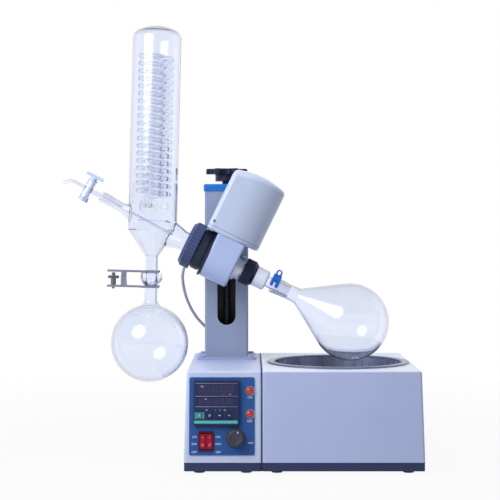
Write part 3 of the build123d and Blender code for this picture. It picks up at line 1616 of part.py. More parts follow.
# Rockers, tilted to their off side about the pin at the panel's face
for name, side in (("rotation_switch", -1), ("heating_switch", 1)):
    with BuildPart() as rocker:
        pivot = on_front(rocker_x + side * rocker_step, rocker_z, panel_thickness)
        with BuildSketch(Plane(pivot.origin, x_dir=pivot.y_dir, z_dir=pivot.x_dir)):
            with BuildLine():
                Polyline((rocker_half, 3), (rocker_half, -3), (-rocker_half, -3), (-rocker_half, 3))
                ThreePointArc((-rocker_half, 3), (0, 1.6), (rocker_half, 3))
            make_face()
            Circle(rocker_pin_radius + slip_gap, mode=Mode.SUBTRACT)
        extrude(amount=rocker_width / 2, both=True)
        tilt_axis = Axis(pivot.origin, pivot.x_dir)
    rocker.part = rocker.part.rotate(tilt_axis, rocker_tilt)
    rocker.part.label = name
    export_step(rocker.part, f"parts/{name}.step")

# Speed dial and the control that it turns
with BuildPart() as speed_dial:
    with Locations(on_front(dial_x, dial_z, panel_thickness + seat_gap)):
        Cylinder(dial_skirt_radius, 3, align=FROM_BASE)
    with Locations(on_front(dial_x, dial_z, panel_thickness + seat_gap + 3)):
        Cone(dial_radius, dial_radius - 1, dial_height - 3, align=FROM_BASE)
    fillet(speed_dial.faces().sort_by(Axis((0, 0, 0), front_out))[-1].edges(), 1.5)
    with Locations(on_front(dial_x, dial_z, panel_thickness + seat_gap)):
        Cylinder(motor_shaft_radius - 1, 14, align=FROM_TOP)
speed_dial.part.label = "speed_dial"
export_step(speed_dial.part, "parts/speed_dial.step")

# Inside the control box: a circuit board on posts, a transformer and the dial's control
floor_z = foot_height + tray_wall
board_y = 40.0
board_post = 8.0
board_top = floor_z + board_post + 1.6
transformer_y = -60.0
with BuildPart() as control_electronics:
    with Locations(Plane((column_x, drive_y + board_y, floor_z))):
        with GridLocations(70, 90, 2, 2):
            Cylinder(3, board_post, align=FROM_BASE)
    with Locations(Plane((column_x, drive_y + board_y, board_top))):
        Box(80, 100, 1.6, align=FROM_TOP)
        with Locations((-25, 20)):
            Cylinder(8, 25, align=FROM_BASE)
        with Locations((18, 25)):
            Box(25, 30, 15, align=FROM_BASE)
        with Locations((5, -28)):
            Box(45, 12, 8, align=FROM_BASE)
    with Locations(Plane((column_x, drive_y + transformer_y, floor_z))):
        Box(64, 54, 50, align=FROM_BASE)
        Box(44, 70, 36, align=FROM_BASE)
    with BuildSketch(on_front(dial_x, dial_z, -box_wall - seat_gap)):
        Circle(9)
        Circle(motor_shaft_radius - 1 + run_gap, mode=Mode.SUBTRACT)
    extrude(amount=-11)
control_electronics.part.label = "control_electronics"
export_step(control_electronics.part, "parts/control_electronics.step")

# Power inlet in the control box's rear wall
inlet_z = 60.0
with BuildPart() as power_inlet:
    with BuildSketch(on_rear(0, inlet_z)):
        RectangleRounded(34, 26, 3)
    extrude(amount=2)
    with Locations(on_rear(0, inlet_z)):
        Box(27, 20, 20, align=FROM_TOP)
    with Locations(on_rear(0, inlet_z, 2)):
        Box(22, 15, 16, align=FROM_TOP, mode=Mode.SUBTRACT)
    with Locations(on_rear(0, inlet_z, -14)):
        with Locations((-7, -1), (7, -1), (0, 2)):
            Box(2, 4, 11, align=FROM_BASE)
power_inlet.part.label = "power_inlet"
export_step(power_inlet.part, "parts/power_inlet.step")

# Bath pot, hung by its rolled lip in the bath box
with BuildPart() as bath_pot:
    with BuildSketch(Plane((column_x + pot_x, drive_y, 0), x_dir=(1, 0, 0), z_dir=(0, -1, 0))):
        with BuildLine():
            Polyline(
                (0, pot_floor - pot_wall),
                (pot_radius + pot_wall, pot_floor - pot_wall),
                (pot_radius + pot_wall, box_top),
                (pot_lip_radius, box_top),
                (pot_lip_radius, box_top + pot_lip_height - 1),
                (pot_lip_radius - 1, box_top + pot_lip_height),
                (pot_radius + 1.5, box_top + pot_lip_height),
                (pot_radius, box_top + pot_lip_height - 1.5),
                (pot_radius, pot_floor),
                (0, pot_floor),
                close=True,
            )
        make_face()
    revolve(axis=Axis((column_x + pot_x, drive_y, 0), (0, 0, 1)))
bath_pot.part.label = "bath_pot"
export_step(bath_pot.part, "parts/bath_pot.step")

# Ring heater on two studs above the pot's floor
with BuildPart() as heater_ring:
    with Locations((column_x + pot_x, drive_y, pot_floor + heater_tube + seat_gap)):
        Torus(heater_radius, heater_tube)
    with Locations(Plane((column_x + pot_x, drive_y + heater_radius, pot_floor))):
        with GridLocations(3 * heater_tube, 1, 2, 1):
            Cylinder(heater_tube / 2, heater_tube, align=FROM_BASE)
heater_ring.part.label = "heater_ring"
export_step(heater_ring.part, "parts/heater_ring.step")

# Temperature probe out of the pot's wall
with BuildPart() as temperature_probe:
    with Locations(
        Plane((column_x + pot_x - pot_radius + run_gap, drive_y, probe_z), z_dir=(1, 0, 0))
    ):
        Cylinder(probe_radius, probe_length, align=FROM_BASE)
    tip_edges = temperature_probe.faces().sort_by(Axis.X)[-1].edges()
    fillet(tip_edges, probe_radius - 1)
temperature_probe.part.label = "temperature_probe"
export_step(temperature_probe.part, "parts/temperature_probe.step")

# Glands at the cable's ends: one under the pan, one on the control box behind the column
upper_gland_t = -34.0
upper_gland_y = 35.4
lower_gland_x = -8.0
lower_gland_y = 160.0
upper_exit = (
    drive_origin
    + drive_t * upper_gland_t
    + drive_v * (case_flat - gland_height)
    + Vector(0, upper_gland_y, 0)
)
with BuildPart() as upper_gland:
    with Locations(Plane(upper_exit, x_dir=drive_t, z_dir=drive_v)):
        Cylinder(gland_radius, gland_height, align=FROM_BASE)
    fillet(upper_gland.faces().sort_by(Axis(drive_origin, drive_v))[0].edges(), 2)
upper_gland.part.label = "upper_gland"
export_step(upper_gland.part, "parts/upper_gland.step")

lower_exit = Vector(column_x + lower_gland_x, drive_y + lower_gland_y, box_top + gland_height)
with BuildPart() as lower_gland:
    with Locations(Plane(lower_exit)):
        Cylinder(gland_radius, gland_height, align=FROM_TOP)
    fillet(lower_gland.faces().sort_by(Axis.Z)[-1].edges(), 2)
lower_gland.part.label = "lower_gland"
export_step(lower_gland.part, "parts/lower_gland.step")

# Cable between them, round the left of the column. Its points are chosen by hand, from the
# column axis and the drive axis's plane, at a share of its drop to the box.
cable_route = [
    (-42.0, 42.0, 0.8875),
    (-57.0, 46.5, 0.8407),
    (-70.0, 48.5, 0.7751),
    (-76.0, 54.0, 0.6885),
    (-75.0, 70.0, 0.5854),
    (-69.0, 95.0, 0.4590),
    (-56.0, 121.0, 0.3278),
    (-38.0, 141.0, 0.2295),
    (-19.0, 154.0, 0.1639),
    (-8.0, 160.0, 0.0984),
]
cable_drop = upper_exit.Z - box_top
cable_points = [
    Vector(column_x + x, drive_y + y, box_top + share * cable_drop)
    for x, y, share in cable_route
]
first_bend = upper_exit - drive_v * cable_first_run
cable_points = [upper_exit, first_bend] + cable_points + [lower_exit]
cable_radii = []
for before, here, after in zip(cable_points, cable_points[1:], cable_points[2:]):
    turn = (here - before).get_angle(after - here)
    shorter = min((here - before).length, (after - here).length)
    cable_radii.append(0.45 * shorter / tan(radians(turn / 2)))
print("cable radii", [round(radius, 1) for radius in cable_radii])
with BuildPart() as motor_cable:
    with BuildLine() as route:
        FilletPolyline(*cable_points, radius=cable_radii)
    with BuildSketch(Plane(route.line @ 0, z_dir=route.line % 0)):
        Circle(cable_radius)
    sweep(path=route.line)
cable_length = sum(edge.length for edge in route.edges())
print("cable length", round(cable_length, 1))
print("cable volume", round(motor_cable.part.volume / (pi * cable_radius**2 * cable_length), 4))
motor_cable.part.label = "motor_cable"
export_step(motor_cable.part, "parts/motor_cable.step")
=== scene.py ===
"""Looks of a rotary evaporator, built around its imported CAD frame. Metres, Z up, operator at -Y."""

from math import atan2, cos, pi, radians, sin

import bmesh
import bpy
from mathutils import Matrix, Vector


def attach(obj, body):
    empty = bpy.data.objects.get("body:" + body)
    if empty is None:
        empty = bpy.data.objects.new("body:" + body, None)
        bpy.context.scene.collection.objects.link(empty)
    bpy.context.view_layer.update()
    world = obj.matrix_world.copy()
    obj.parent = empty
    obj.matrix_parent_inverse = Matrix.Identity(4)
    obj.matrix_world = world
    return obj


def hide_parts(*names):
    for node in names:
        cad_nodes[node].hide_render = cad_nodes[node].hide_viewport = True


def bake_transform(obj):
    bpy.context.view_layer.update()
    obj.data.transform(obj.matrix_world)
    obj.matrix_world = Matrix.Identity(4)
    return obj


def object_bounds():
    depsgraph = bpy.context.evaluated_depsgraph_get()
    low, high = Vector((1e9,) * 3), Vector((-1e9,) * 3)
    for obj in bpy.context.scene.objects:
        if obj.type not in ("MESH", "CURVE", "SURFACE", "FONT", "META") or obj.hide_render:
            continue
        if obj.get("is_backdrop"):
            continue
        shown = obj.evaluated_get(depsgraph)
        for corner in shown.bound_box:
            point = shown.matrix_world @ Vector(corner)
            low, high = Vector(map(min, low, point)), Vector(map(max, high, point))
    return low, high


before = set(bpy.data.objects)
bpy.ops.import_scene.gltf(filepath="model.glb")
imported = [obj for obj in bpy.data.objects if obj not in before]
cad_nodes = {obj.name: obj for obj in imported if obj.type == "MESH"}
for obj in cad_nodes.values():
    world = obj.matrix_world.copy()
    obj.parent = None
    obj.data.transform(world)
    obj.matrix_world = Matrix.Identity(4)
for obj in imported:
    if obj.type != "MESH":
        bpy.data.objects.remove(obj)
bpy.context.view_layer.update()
scene = bpy.context.scene

MM = 0.001

# ---------------------------------------------------------------- places


def millimetres(*point):
    return Vector(point) * MM


COLUMN_X = -20.6
DRIVE_Y = -2.92

# The flask drive: t points down to the flask, v stands square to it
DRIVE_TILT = radians(26.0)
DRIVE_ORIGIN = millimetres(COLUMN_X - 6.0, DRIVE_Y, 333.0)
DRIVE_T = Vector((cos(DRIVE_TILT), 0, -sin(DRIVE_TILT)))
DRIVE_V = Vector((sin(DRIVE_TILT), 0, cos(DRIVE_TILT)))

# The condenser's feed port, and the direction in which it points
PORT_RISE = radians(28.5)
PORT_ORIGIN = millimetres(COLUMN_X - 120.7, DRIVE_Y, 391.7)
PORT_Q = Vector((-cos(PORT_RISE), 0, sin(PORT_RISE)))

# The boxes' leaning front and rear, between their trays and their top
TRAY_TOP = 18.6
BOX_RISE = 141.4
BOX_MIDDLE = TRAY_TOP + BOX_RISE / 2
BOX_TOP = 160.0
FRONT_FOOT = DRIVE_Y - 167.0
FRONT_TOP = -147.9
FRONT_LEAN = 22.0
FRONT_TILT = atan2(FRONT_LEAN, BOX_RISE)
FRONT_UP = Vector((0, sin(FRONT_TILT), cos(FRONT_TILT)))
FRONT_OUT = Vector((0, -cos(FRONT_TILT), sin(FRONT_TILT)))
REAR_TOP = 179.08
REAR_LEAN = 4.0
REAR_TILT = atan2(REAR_LEAN, BOX_RISE)
REAR_OUT = Vector((0, cos(REAR_TILT), sin(REAR_TILT)))

# How far the panel and the controller's bezel stand out from the front
PANEL = 1.5
BEZEL = PANEL + 7.0


def plane(origin, x_dir, z_dir):
    """A matrix whose x and z point along the two directions."""
    z = Vector(z_dir).normalized()
    x = Vector(x_dir).normalized()
    matrix = Matrix((x, z.cross(x), z)).transposed().to_4x4()
    matrix.translation = origin
    return matrix


def on_front(x, z, out=0.0):
    """The control box's leaning front, x from the column axis, in millimetres."""
    rise = (z - TRAY_TOP) / cos(FRONT_TILT)
    foot = millimetres(COLUMN_X + x, FRONT_FOOT, TRAY_TOP)
    return plane(foot + FRONT_UP * rise * MM + FRONT_OUT * out * MM, (1, 0, 0), FRONT_OUT)


def on_drive(t, y, v):
    """A point by the tilted flask drive, in millimetres."""
    return DRIVE_ORIGIN + (DRIVE_T * t + DRIVE_V * v) * MM + millimetres(0, y, 0)


# ---------------------------------------------------------------- materials


def linear(code):
    """A colour written as six hexadecimal digits, as the shader's linear numbers."""
    channels = [int(code[i : i + 2], 16) / 255 for i in (0, 2, 4)]
    return tuple(c / 12.92 if c < 0.04045 else ((c + 0.055) / 1.055) ** 2.4 for c in channels)


class Nodes:
    """The nodes of one tree, each made, set and linked in one call."""

    def __init__(self, tree):
        self.tree = tree

    def node(self, kind, links=(), **settings):
        """A node whose sockets are linked to other sockets, or hold plain values."""
        made = self.tree.nodes.new(kind)
        for key, value in settings.items():
            setattr(made, key, value)
        for socket, value in links:
            if hasattr(value, "is_linked"):
                self.tree.links.new(value, made.inputs[socket])
            else:
                made.inputs[socket].default_value = value
        return made

    def math(self, operation, first, second):
        links = [(0, first), (1, second)]
        return self.node("ShaderNodeMath", links, operation=operation).outputs[0]

    def spread(self, value, low, high, start=0.3, end=0.7):
        """Goes from low to high while the value goes from start to end."""
        links = [("Value", value), (1, start), (2, end), (3, low), (4, high)]
        return self.node("ShaderNodeMapRange", links).outputs[0]

    def mix(self, factor, first, second):
        """A colour between two, each a socket or three numbers."""
        links = [(0, factor)]
        for index, value in ((6, first), (7, second)):
            links.append((index, value if hasattr(value, "is_linked") else (*value, 1)))
        return self.node("ShaderNodeMix", links, data_type="RGBA").outputs[2]


class Look(Nodes):
    """One procedural material: a Principled shader and the nodes that feed it."""

    def __init__(self, name):
        self.material = bpy.data.materials.new(name)
        self.material.use_nodes = True
        super().__init__(self.material.node_tree)
        self.shader = self.tree.nodes["Principled BSDF"]
        self.place = self.node("ShaderNodeTexCoord").outputs["Object"]

    def set(self, **values):
        for key, value in values.items():
            self.shader.inputs[key.replace("_", " ")].default_value = value

    def feed(self, socket, value):
        self.tree.links.new(value, self.shader.inputs[socket])

    def noise(self, scale, detail=2.0, stretch=(1, 1, 1)):
        scaled = self.node("ShaderNodeMapping", [("Vector", self.place), ("Scale", stretch)])
        links = [("Vector", scaled.outputs[0]), ("Scale", scale), ("Detail", detail)]
        return self.node("ShaderNodeTexNoise", links).outputs[0]

    def band(self, origin, axis, start, end, edge=0.0004):
        """1 between two heights along an axis, in metres from the origin, and 0 outside."""
        links = [(0, self.place), (1, origin)]
        away = self.node("ShaderNodeVectorMath", links, operation="SUBTRACT").outputs[0]
        links = [(0, away), (1, axis)]
        along = self.node("ShaderNodeVectorMath", links, operation="DOT_PRODUCT").outputs["Value"]
        rise = self.spread(along, 0, 1, start - edge, start + edge)
        fall = self.spread(along, 1, 0, end - edge, end + edge)
        return self.math("MULTIPLY", rise, fall)

    def overpaint(self, mask, code):
        """Shows a second colour where the mask is 1."""
        self.feed("Base Color", self.mix(mask, self.colour, linear(code)))

    def bump(self, height, distance, strength):
        links = [("Height", height), ("Distance", distance), ("Strength", strength)]
        self.feed("Normal", self.node("ShaderNodeBump", links).outputs[0])

    def give_way(self, factor, other):
        """Shows another shader instead of the Principled one where the factor is 1."""
        links = [(0, factor), (1, self.shader.outputs[0]), (2, other.outputs[0])]
        mixed = self.node("ShaderNodeMixShader", links)
        surface = self.tree.nodes["Material Output"].inputs["Surface"]
        self.tree.links.new(mixed.outputs[0], surface)


GLOSS_SPREAD = 0.06
COAT_ROUGHNESS = 0.15
GRAIN_STRENGTH = 0.6


def finish(
    name, code, roughness=0.4, metallic=0.0, mottle=0.05, mottle_scale=18.0, grain=900.0,
    depth=2e-5, coat=0.0, stretch=(1, 1, 1), specular=0.5,
):
    """A surface with slight colour variation, uneven gloss and a fine grain, as deep as depth."""
    look = Look(name)
    colour = linear(code)
    darker = tuple(c * (1 - mottle) for c in colour)
    lighter = tuple(min(1.0, c * (1 + mottle)) for c in colour)
    broad = look.noise(mottle_scale, 4.0, stretch)
    look.colour = look.mix(look.spread(broad, 0, 1), darker, lighter)
    look.feed("Base Color", look.colour)
    uneven = look.noise(mottle_scale * 3, 3.0, stretch)
    smoothest = max(0.02, roughness - GLOSS_SPREAD)
    look.feed("Roughness", look.spread(uneven, smoothest, roughness + GLOSS_SPREAD))
    look.set(Metallic=metallic, Specular_IOR_Level=specular)
    look.set(Coat_Weight=coat, Coat_Roughness=COAT_ROUGHNESS)
    look.bump(look.noise(grain, 2.0, stretch), depth, GRAIN_STRENGTH)
    return look


def paint(name, code, roughness=0.42, mottle=0.02, coat=0.0):
    """Smooth, even paint."""
    return finish(name, code, roughness, mottle=mottle, grain=2600, depth=1e-5, coat=coat)


# CLEAR is the glass's own tint; EDGE is painted shade, shown where the glass is seen edge on
CLEAR = (0.89, 0.918, 0.998)
EDGE = (0.36, 0.39, 0.52)
GLASS_SHADOW = (0.93, 0.94, 0.98, 1)
GROUND_TINT = (0.90, 0.92, 0.97)
GROUND_ROUGHNESS = 0.22
WAVE_SCALE = 14.0
WAVE_DEPTH = 4e-4
WAVE_STRENGTH = 0.25


def glass(name, clear=CLEAR, edge=EDGE, frost=(), ior=1.47):
    """Clear glass with painted shade where it is seen edge on, and ground bands where joints are."""
    look = Look(name)
    # Painted shade: the tint goes to the darker edge colour where the glass is seen edge on
    facing = look.node("ShaderNodeLayerWeight", [("Blend", 0.5)]).outputs["Facing"]
    tint = look.mix(look.spread(facing, 0, 1, 0.55, 0.98), clear, edge)
    look.set(IOR=ior, Transmission_Weight=1.0, Roughness=0.0)
    for origin, axis, start, end in frost:
        ground = look.band(origin, axis, start, end)
        tint = look.mix(ground, tint, GROUND_TINT)
        look.feed("Roughness", look.spread(ground, 0.0, GROUND_ROUGHNESS, 0, 1))
    look.feed("Base Color", tint)
    look.bump(look.noise(WAVE_SCALE, 1.0), WAVE_DEPTH, WAVE_STRENGTH)
    lamp_ray = look.node("ShaderNodeLightPath").outputs["Is Shadow Ray"]
    look.give_way(lamp_ray, look.node("ShaderNodeBsdfTransparent", [("Color", GLASS_SHADOW)]))
    return look


# Paints
housing = paint("housing_paint", "C8D2EF")
# Painted shade: the bath's paint is a darker copy of the housing's paint
bath_paint_shade_and_highlight = paint("bath_paint_shade_and_highlight", "B9C4E8")
head_paint = paint("head_paint", "C8D3EC", 0.34, coat=0.15)
# Painted shade: the gear case's drum paint is a darker copy of the head's paint
drum_paint_shaded = paint("drum_paint_shaded", "B6C6EE", 0.36, coat=0.1)
flange_paint = paint("flange_paint", "A3AED0", mottle=0.03)
column = paint("column_paint", "9CA7C1", mottle=0.03)
tray = finish("tray_paint", "394264", 0.55, mottle=0.06, grain=2200, depth=3e-5, specular=0.2)

# Plastics and rubber
rubber = finish("foot_rubber", "1C1D22", 0.75, mottle=0.1, grain=1500, depth=6e-5)
black = finish("black_plastic", "151939", 0.38, mottle=0.1, grain=1600, depth=4e-5, specular=0.3)
flange_black = finish(
    "flange_black", "232840", 0.46, mottle=0.1, grain=1600, depth=4e-5, specular=0.3
)
nut = finish("nut_plastic", "434F78", 0.42, mottle=0.07, grain=1500, depth=4e-5, specular=0.35)
blue = finish("blue_plastic", "1579D0", 0.3, mottle=0.04, grain=1800, coat=0.15, specular=0.3)
clip_blue = finish("clip_plastic", "1E6AD2", 0.32, grain=1800, specular=0.35)
white = finish("white_plastic", "EEF1FF", mottle=0.02, grain=1800, depth=3e-5)
grey = finish("grey_plastic", "8A8F9F", 0.5, grain=1500, depth=3e-5)
# The grey of the painted shade in the seam between the motor cover and its pan
seam_shade = finish("cover_seam_shade", "6F7A9A", 0.6, grain=1500, depth=3e-5)
belt = finish("belt_rubber", "17171A", 0.7, mottle=0.1, grain=1500, depth=6e-5)
sheath = finish("cable_sheath", "C2C4D2", 0.42, grain=1500, depth=3e-5)
board = finish("board_green", "1F7A4A", 0.5, mottle=0.1, grain=1200, depth=5e-5)

# The control panel and what is on it
panel_film = finish("panel_film", "305A9C", mottle_scale=30, grain=3200, specular=0.2)
meter_case = finish("meter_case", "2A3159", 0.45, mottle=0.06, grain=2400, depth=3e-5, specular=0.2)
display = finish(
    "display_glass", "38375A", 0.16, mottle=0.04, grain=300, depth=2e-6, coat=0.1, specular=0.2
)
ghost = finish("display_segments", "45446C", 0.3, mottle=0.03, specular=0.2)
green = finish("meter_green", "56BDB4", 0.35, grain=2000, depth=1e-5)
key_green = finish("key_green", "3E9C92", grain=2000)
ink = finish("white_print", "D3DEFA", 0.5, mottle=0.02)
line_ink = finish("grey_print", "9599B4", 0.5, mottle=0.04)
red = finish("red_button", "C81C22", 0.2, depth=5e-6, coat=0.8)
rocker_red = finish("rocker_red", "AC142C", 0.35, mottle=0.08, depth=1e-5, specular=0.2)
rocker_rim = finish("rocker_rim", "47192B", mottle=0.1, grain=1200, specular=0.2)
rocker_mark = finish("rocker_print", "E3A9B6", 0.5, mottle=0.03)
dial_look = finish("dial_plastic", "343548", 0.42, mottle=0.08, grain=1700, depth=4e-5)

# Metals, whose stretch gives the direction of their brushing
steel = finish("brushed_steel", "BFC3CC", 0.26, 1.0, mottle=0.06, grain=700, stretch=(1, 1, 14))
pot_steel = finish(
    "pot_steel", "B4B9D0", 0.28, 0.8, mottle=0.28, mottle_scale=26, grain=120, depth=1e-5,
    stretch=(1, 1, 0.06),
)
machined = finish("machined_aluminium", "B4BACB", 0.32, 1.0, stretch=(9, 1, 9))
clamp_steel = finish("clamp_steel", "9A9CB4", 0.16, 1.0, mottle=0.08, grain=700, stretch=(1, 1, 9))
screw_steel = finish("screw_steel", "777C88", 0.3, 1.0, mottle=0.12, grain=1200, depth=3e-5)
dark_steel = finish("dark_steel", "3C3F4C", 0.5, 0.6, mottle=0.15, grain=1200, depth=4e-5)

# Glass; the stopcock's key and nut are opaque
# Each glass's second colour is the painted shade where it is seen edge on
vessel = glass("clear_glass")
receiver_glass = glass("receiving_flask_glass")
coil_glass = glass("coil_glass", (0.93, 0.945, 0.99), (0.52, 0.55, 0.70), ior=1.3)
flask_glass = glass("evaporating_flask_glass", frost=[(DRIVE_ORIGIN, DRIVE_T, 0.099, 0.124)])
valve_glass = glass(
    "valve_glass", (0.86, 0.89, 0.98), (0.2, 0.22, 0.36), ior=1.42,
    frost=[(PORT_ORIGIN, PORT_Q, 0.073, 0.098), (PORT_ORIGIN, PORT_Q, 0.114, 0.136)],
)
key_glass = finish("stopcock_glass", "C2CCEA", mottle=0.03, grain=1500, depth=1e-5, specular=0.2)

# Painted highlight: the bath's top is painted lighter than its sides, as it catches more light
UP = (0, 0, 1)
bath_paint_shade_and_highlight.overpaint(bath_paint_shade_and_highlight.band((0, 0, 0), UP, 0.1590, 0.3, 0.0009), "E9EDFA")
# Painted shade: the pot's lip is painted darker than its wall, as it catches less light
pot_steel.overpaint(pot_steel.band((0, 0, 0), UP, 0.1597, 0.2), "7D839C")

# The column's paint stops at its slot, and the inside of the tube is black
inside_x = column.band((COLUMN_X * MM, 0, 0), (1, 0, 0), -0.0352, 0.0352, 0.0002)
inside_y = column.band((0, (DRIVE_Y + 97.0) * MM, 0), (0, 1, 0), -0.0292, 0.0277, 0.0002)
column.overpaint(column.math("MULTIPLY", inside_x, inside_y), "0B0C12")

LOOKS = {
    housing: "control_housing",
    bath_paint_shade_and_highlight: "bath_housing",
    tray: "box_trays",
    rubber: "feet shaft_seal",
    flange_paint: "column_flange flange_bolts",
    dark_steel: "lead_screw",
    screw_steel: "screw_bearings clamp_screw drive_motor heater_ring",
    column: "column_tube",
    blue: "column_cap joint_clip",
    black: "lift_knob eject_nut power_inlet motor_pulley shaft_pulley",
    machined: "carriage head_arm bearing_collar hollow_shaft shaft_bearings",
    head_paint: "motor_pan motor_cover",
    drum_paint_shaded: "gear_case",
    belt: "drive_belt",
    flange_black: "condenser_flange",
    nut: "union_nut",
    white: "duct_sleeve",
    vessel: "vapour_duct condenser_glass",
    flask_glass: "evaporating_flask",
    receiver_glass: "receiving_flask",
    coil_glass: "condenser_coil",
    valve_glass: "feed_valve",
    key_glass: "stopcock_key stopcock_nut",
    clamp_steel: "clamp_fork clamp_jaw",
    steel: "temperature_probe",
    pot_steel: "bath_pot",
    panel_film: "control_panel",
    meter_case: "temperature_meter meter_key_2 meter_key_3 meter_key_4",
    key_green: "meter_key_1",
    red: "start_button stop_button",
    rocker_rim: "rocker_frame",
    rocker_red: "rotation_switch heating_switch",
    dial_look: "speed_dial",
    board: "control_electronics",
    grey: "upper_gland lower_gland motor_cable",
}
for look, names in LOOKS.items():
    for node_name in names.split():
        materials = cad_nodes[node_name].data.materials
        materials.clear()
        materials.append(look.material)

# ---------------------------------------------------------------- mesh helpers


def add_ring(mesh, place, points):
    """Vertices at points that are given in millimetres along the place's own axes."""
    return [mesh.verts.new(place @ (Vector(point) * MM)) for point in points]


def join(mesh, lower, upper):
    """A band of faces between two rings with the same number of vertices."""
    for i, corner in enumerate(lower):
        j = (i + 1) % len(lower)
        mesh.faces.new((corner, lower[j], upper[j], upper[i]))


def centre(outline):
    return Vector((sum(p[0] for p in outline), sum(p[1] for p in outline))) / len(outline)


def drawn_in(outline, inset, height):
    """An outline's points at a height, moved towards its middle."""
    middle = centre(outline)
    points = []
    for corner in outline:
        away = Vector(corner) - middle
        away *= max(0.0, 1 - inset / max(away.length, 1e-6))
        points.append((*(middle + away), height))
    return points


def rounded(width, height, corner, steps=5):
    """The outline of a rounded rectangle."""
    points = []
    for sign_x, sign_y, start in ((1, -1, -90), (1, 1, 0), (-1, 1, 90), (-1, -1, 180)):
        cx = sign_x * (width / 2 - corner)
        cy = sign_y * (height / 2 - corner)
        for step in range(steps + 1):
            angle = radians(start + 90 * step / steps)
            points.append((cx + corner * cos(angle), cy + corner * sin(angle)))
    return points


def lathe(mesh, place, profile, segments, flute=None):
    """Turns a profile of (radius, height) about a place's z axis."""
    rings = []
    for radius, height in profile:
        points = []
        for step in range(segments if radius else 1):
            angle = 2 * pi * step / segments
            reach = flute(radius, height, angle) if flute else radius
            points.append((reach * cos(angle), reach * sin(angle), height))
        rings.append(add_ring(mesh, place, points))
    for lower, upper in zip(rings, rings[1:]):
        for step in range(segments):
            after = (step + 1) % segments
            corners = [lower[step % len(lower)], lower[after % len(lower)]]
            corners += [upper[after % len(upper)], upper[step % len(upper)]]
            unique = list(dict.fromkeys(corners))
            if len(unique) > 2:
                mesh.faces.new(unique)


def prism(mesh, place, outline, bottom, top, bevel=0.0):
    """A plate with an outline of (x, y), whose top edge is drawn in by the bevel."""
    levels = [(0, bottom), (0, top - bevel), (bevel, top)] if bevel else [(0, bottom), (0, top)]
    rings = [add_ring(mesh, place, drawn_in(outline, *level)) for level in levels]
    for lower, upper in zip(rings, rings[1:]):
        join(mesh, lower, upper)
    mesh.faces.new(rings[0][::-1])
    mesh.faces.new(rings[-1])


def loop(mesh, place, outer, inner, half_height, bevel):
    """A plate with a hole and eased edges; both outlines have the same number of points."""
    rings = []
    for inset, height in (
        (bevel, -half_height), (0, bevel - half_height), (0, half_height - bevel),
        (bevel, half_height),
    ):
        for outline, sign in ((outer, 1), (inner, -1)):
            rings.append(add_ring(mesh, place, drawn_in(outline, sign * inset, height)))
    for first, second in ((0, 2), (2, 4), (4, 6), (1, 3), (3, 5), (5, 7), (0, 1), (6, 7)):
        join(mesh, rings[first], rings[second])


def arc(mesh, place, section, start, end, steps, end_share=0.7):
    """Sweeps a section of (radius, height) between two angles round z; its ends are smaller."""
    middle = centre(section)
    rings = []
    for step in range(steps + 1):
        angle = radians(start + (end - start) * step / steps)
        share = end_share if step in (0, steps) else 1.0
        points = []
        for corner in section:
            reach, level = middle + (Vector(corner) - middle) * share
            points.append((reach * cos(angle), reach * sin(angle), level))
        rings.append(add_ring(mesh, place, points))
    for first, second in zip(rings, rings[1:]):
        join(mesh, first, second)
    mesh.faces.new(rings[0])
    mesh.faces.new(rings[-1][::-1])


PRINT_THICK = 0.12


def print_ring(mesh, place, radius, share, sides, shown):
    """A printed ring of which some sides are shown, as wide as the share leaves it."""
    angles = [2 * pi * i / sides for i in range(shown + 1)]
    outer = [(radius * cos(angle), radius * sin(angle)) for angle in angles]
    for first, second in zip(outer, outer[1:]):
        inner = [(x * share, y * share) for x, y in (second, first)]
        prism(mesh, place, [first, second, *inner], 0, PRINT_THICK)


def drawn_mesh(holder):
    """The mesh that Blender draws for a text or a curve."""
    bpy.context.view_layer.update()
    drawn = holder.evaluated_get(bpy.context.evaluated_depsgraph_get())
    return bpy.data.meshes.new_from_object(drawn)


def word(mesh, place, text, size):
    """Printed letters, a tenth of a millimetre thick."""
    curve = bpy.data.curves.new("word", "FONT")
    curve.body = text
    curve.size = size * MM
    curve.extrude = 0.05 * MM
    curve.offset = 0.008 * size * MM
    curve.align_x = "CENTER"
    curve.align_y = "CENTER"
    holder = bpy.data.objects.new("word", curve)
    scene.collection.objects.link(holder)
    flat = drawn_mesh(holder)
    flat.transform(place)
    mesh.from_mesh(flat)
    bpy.data.objects.remove(holder)
    bpy.data.meshes.remove(flat)


def piece(name, mesh, body, look, smooth=35.0):
    """Makes an object of the mesh, shades it, and lets it ride on a body."""
    bmesh.ops.recalc_face_normals(mesh, faces=mesh.faces)
    data = bpy.data.meshes.new(name)
    mesh.to_mesh(data)
    mesh.free()
    made = bpy.data.objects.new(name, data)
    scene.collection.objects.link(made)
    data.materials.append(look.material)
    data.shade_smooth()
    if smooth:
        data.set_sharp_from_angle(angle=radians(smooth))
    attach(made, body)
    return made


# ---------------------------------------------------------------- camera and cable

lens = bpy.data.cameras.new("camera")
lens.lens = 100.8
lens.sensor_width = 36.0
camera = bpy.data.objects.new("camera", lens)
camera.location = millimetres(20.0, -2354.9, 384.3)
CAMERA_DROP = radians(0.86)
camera.rotation_euler = (pi / 2 - CAMERA_DROP, 0, 0)
scene.collection.objects.link(camera)
scene.camera = camera

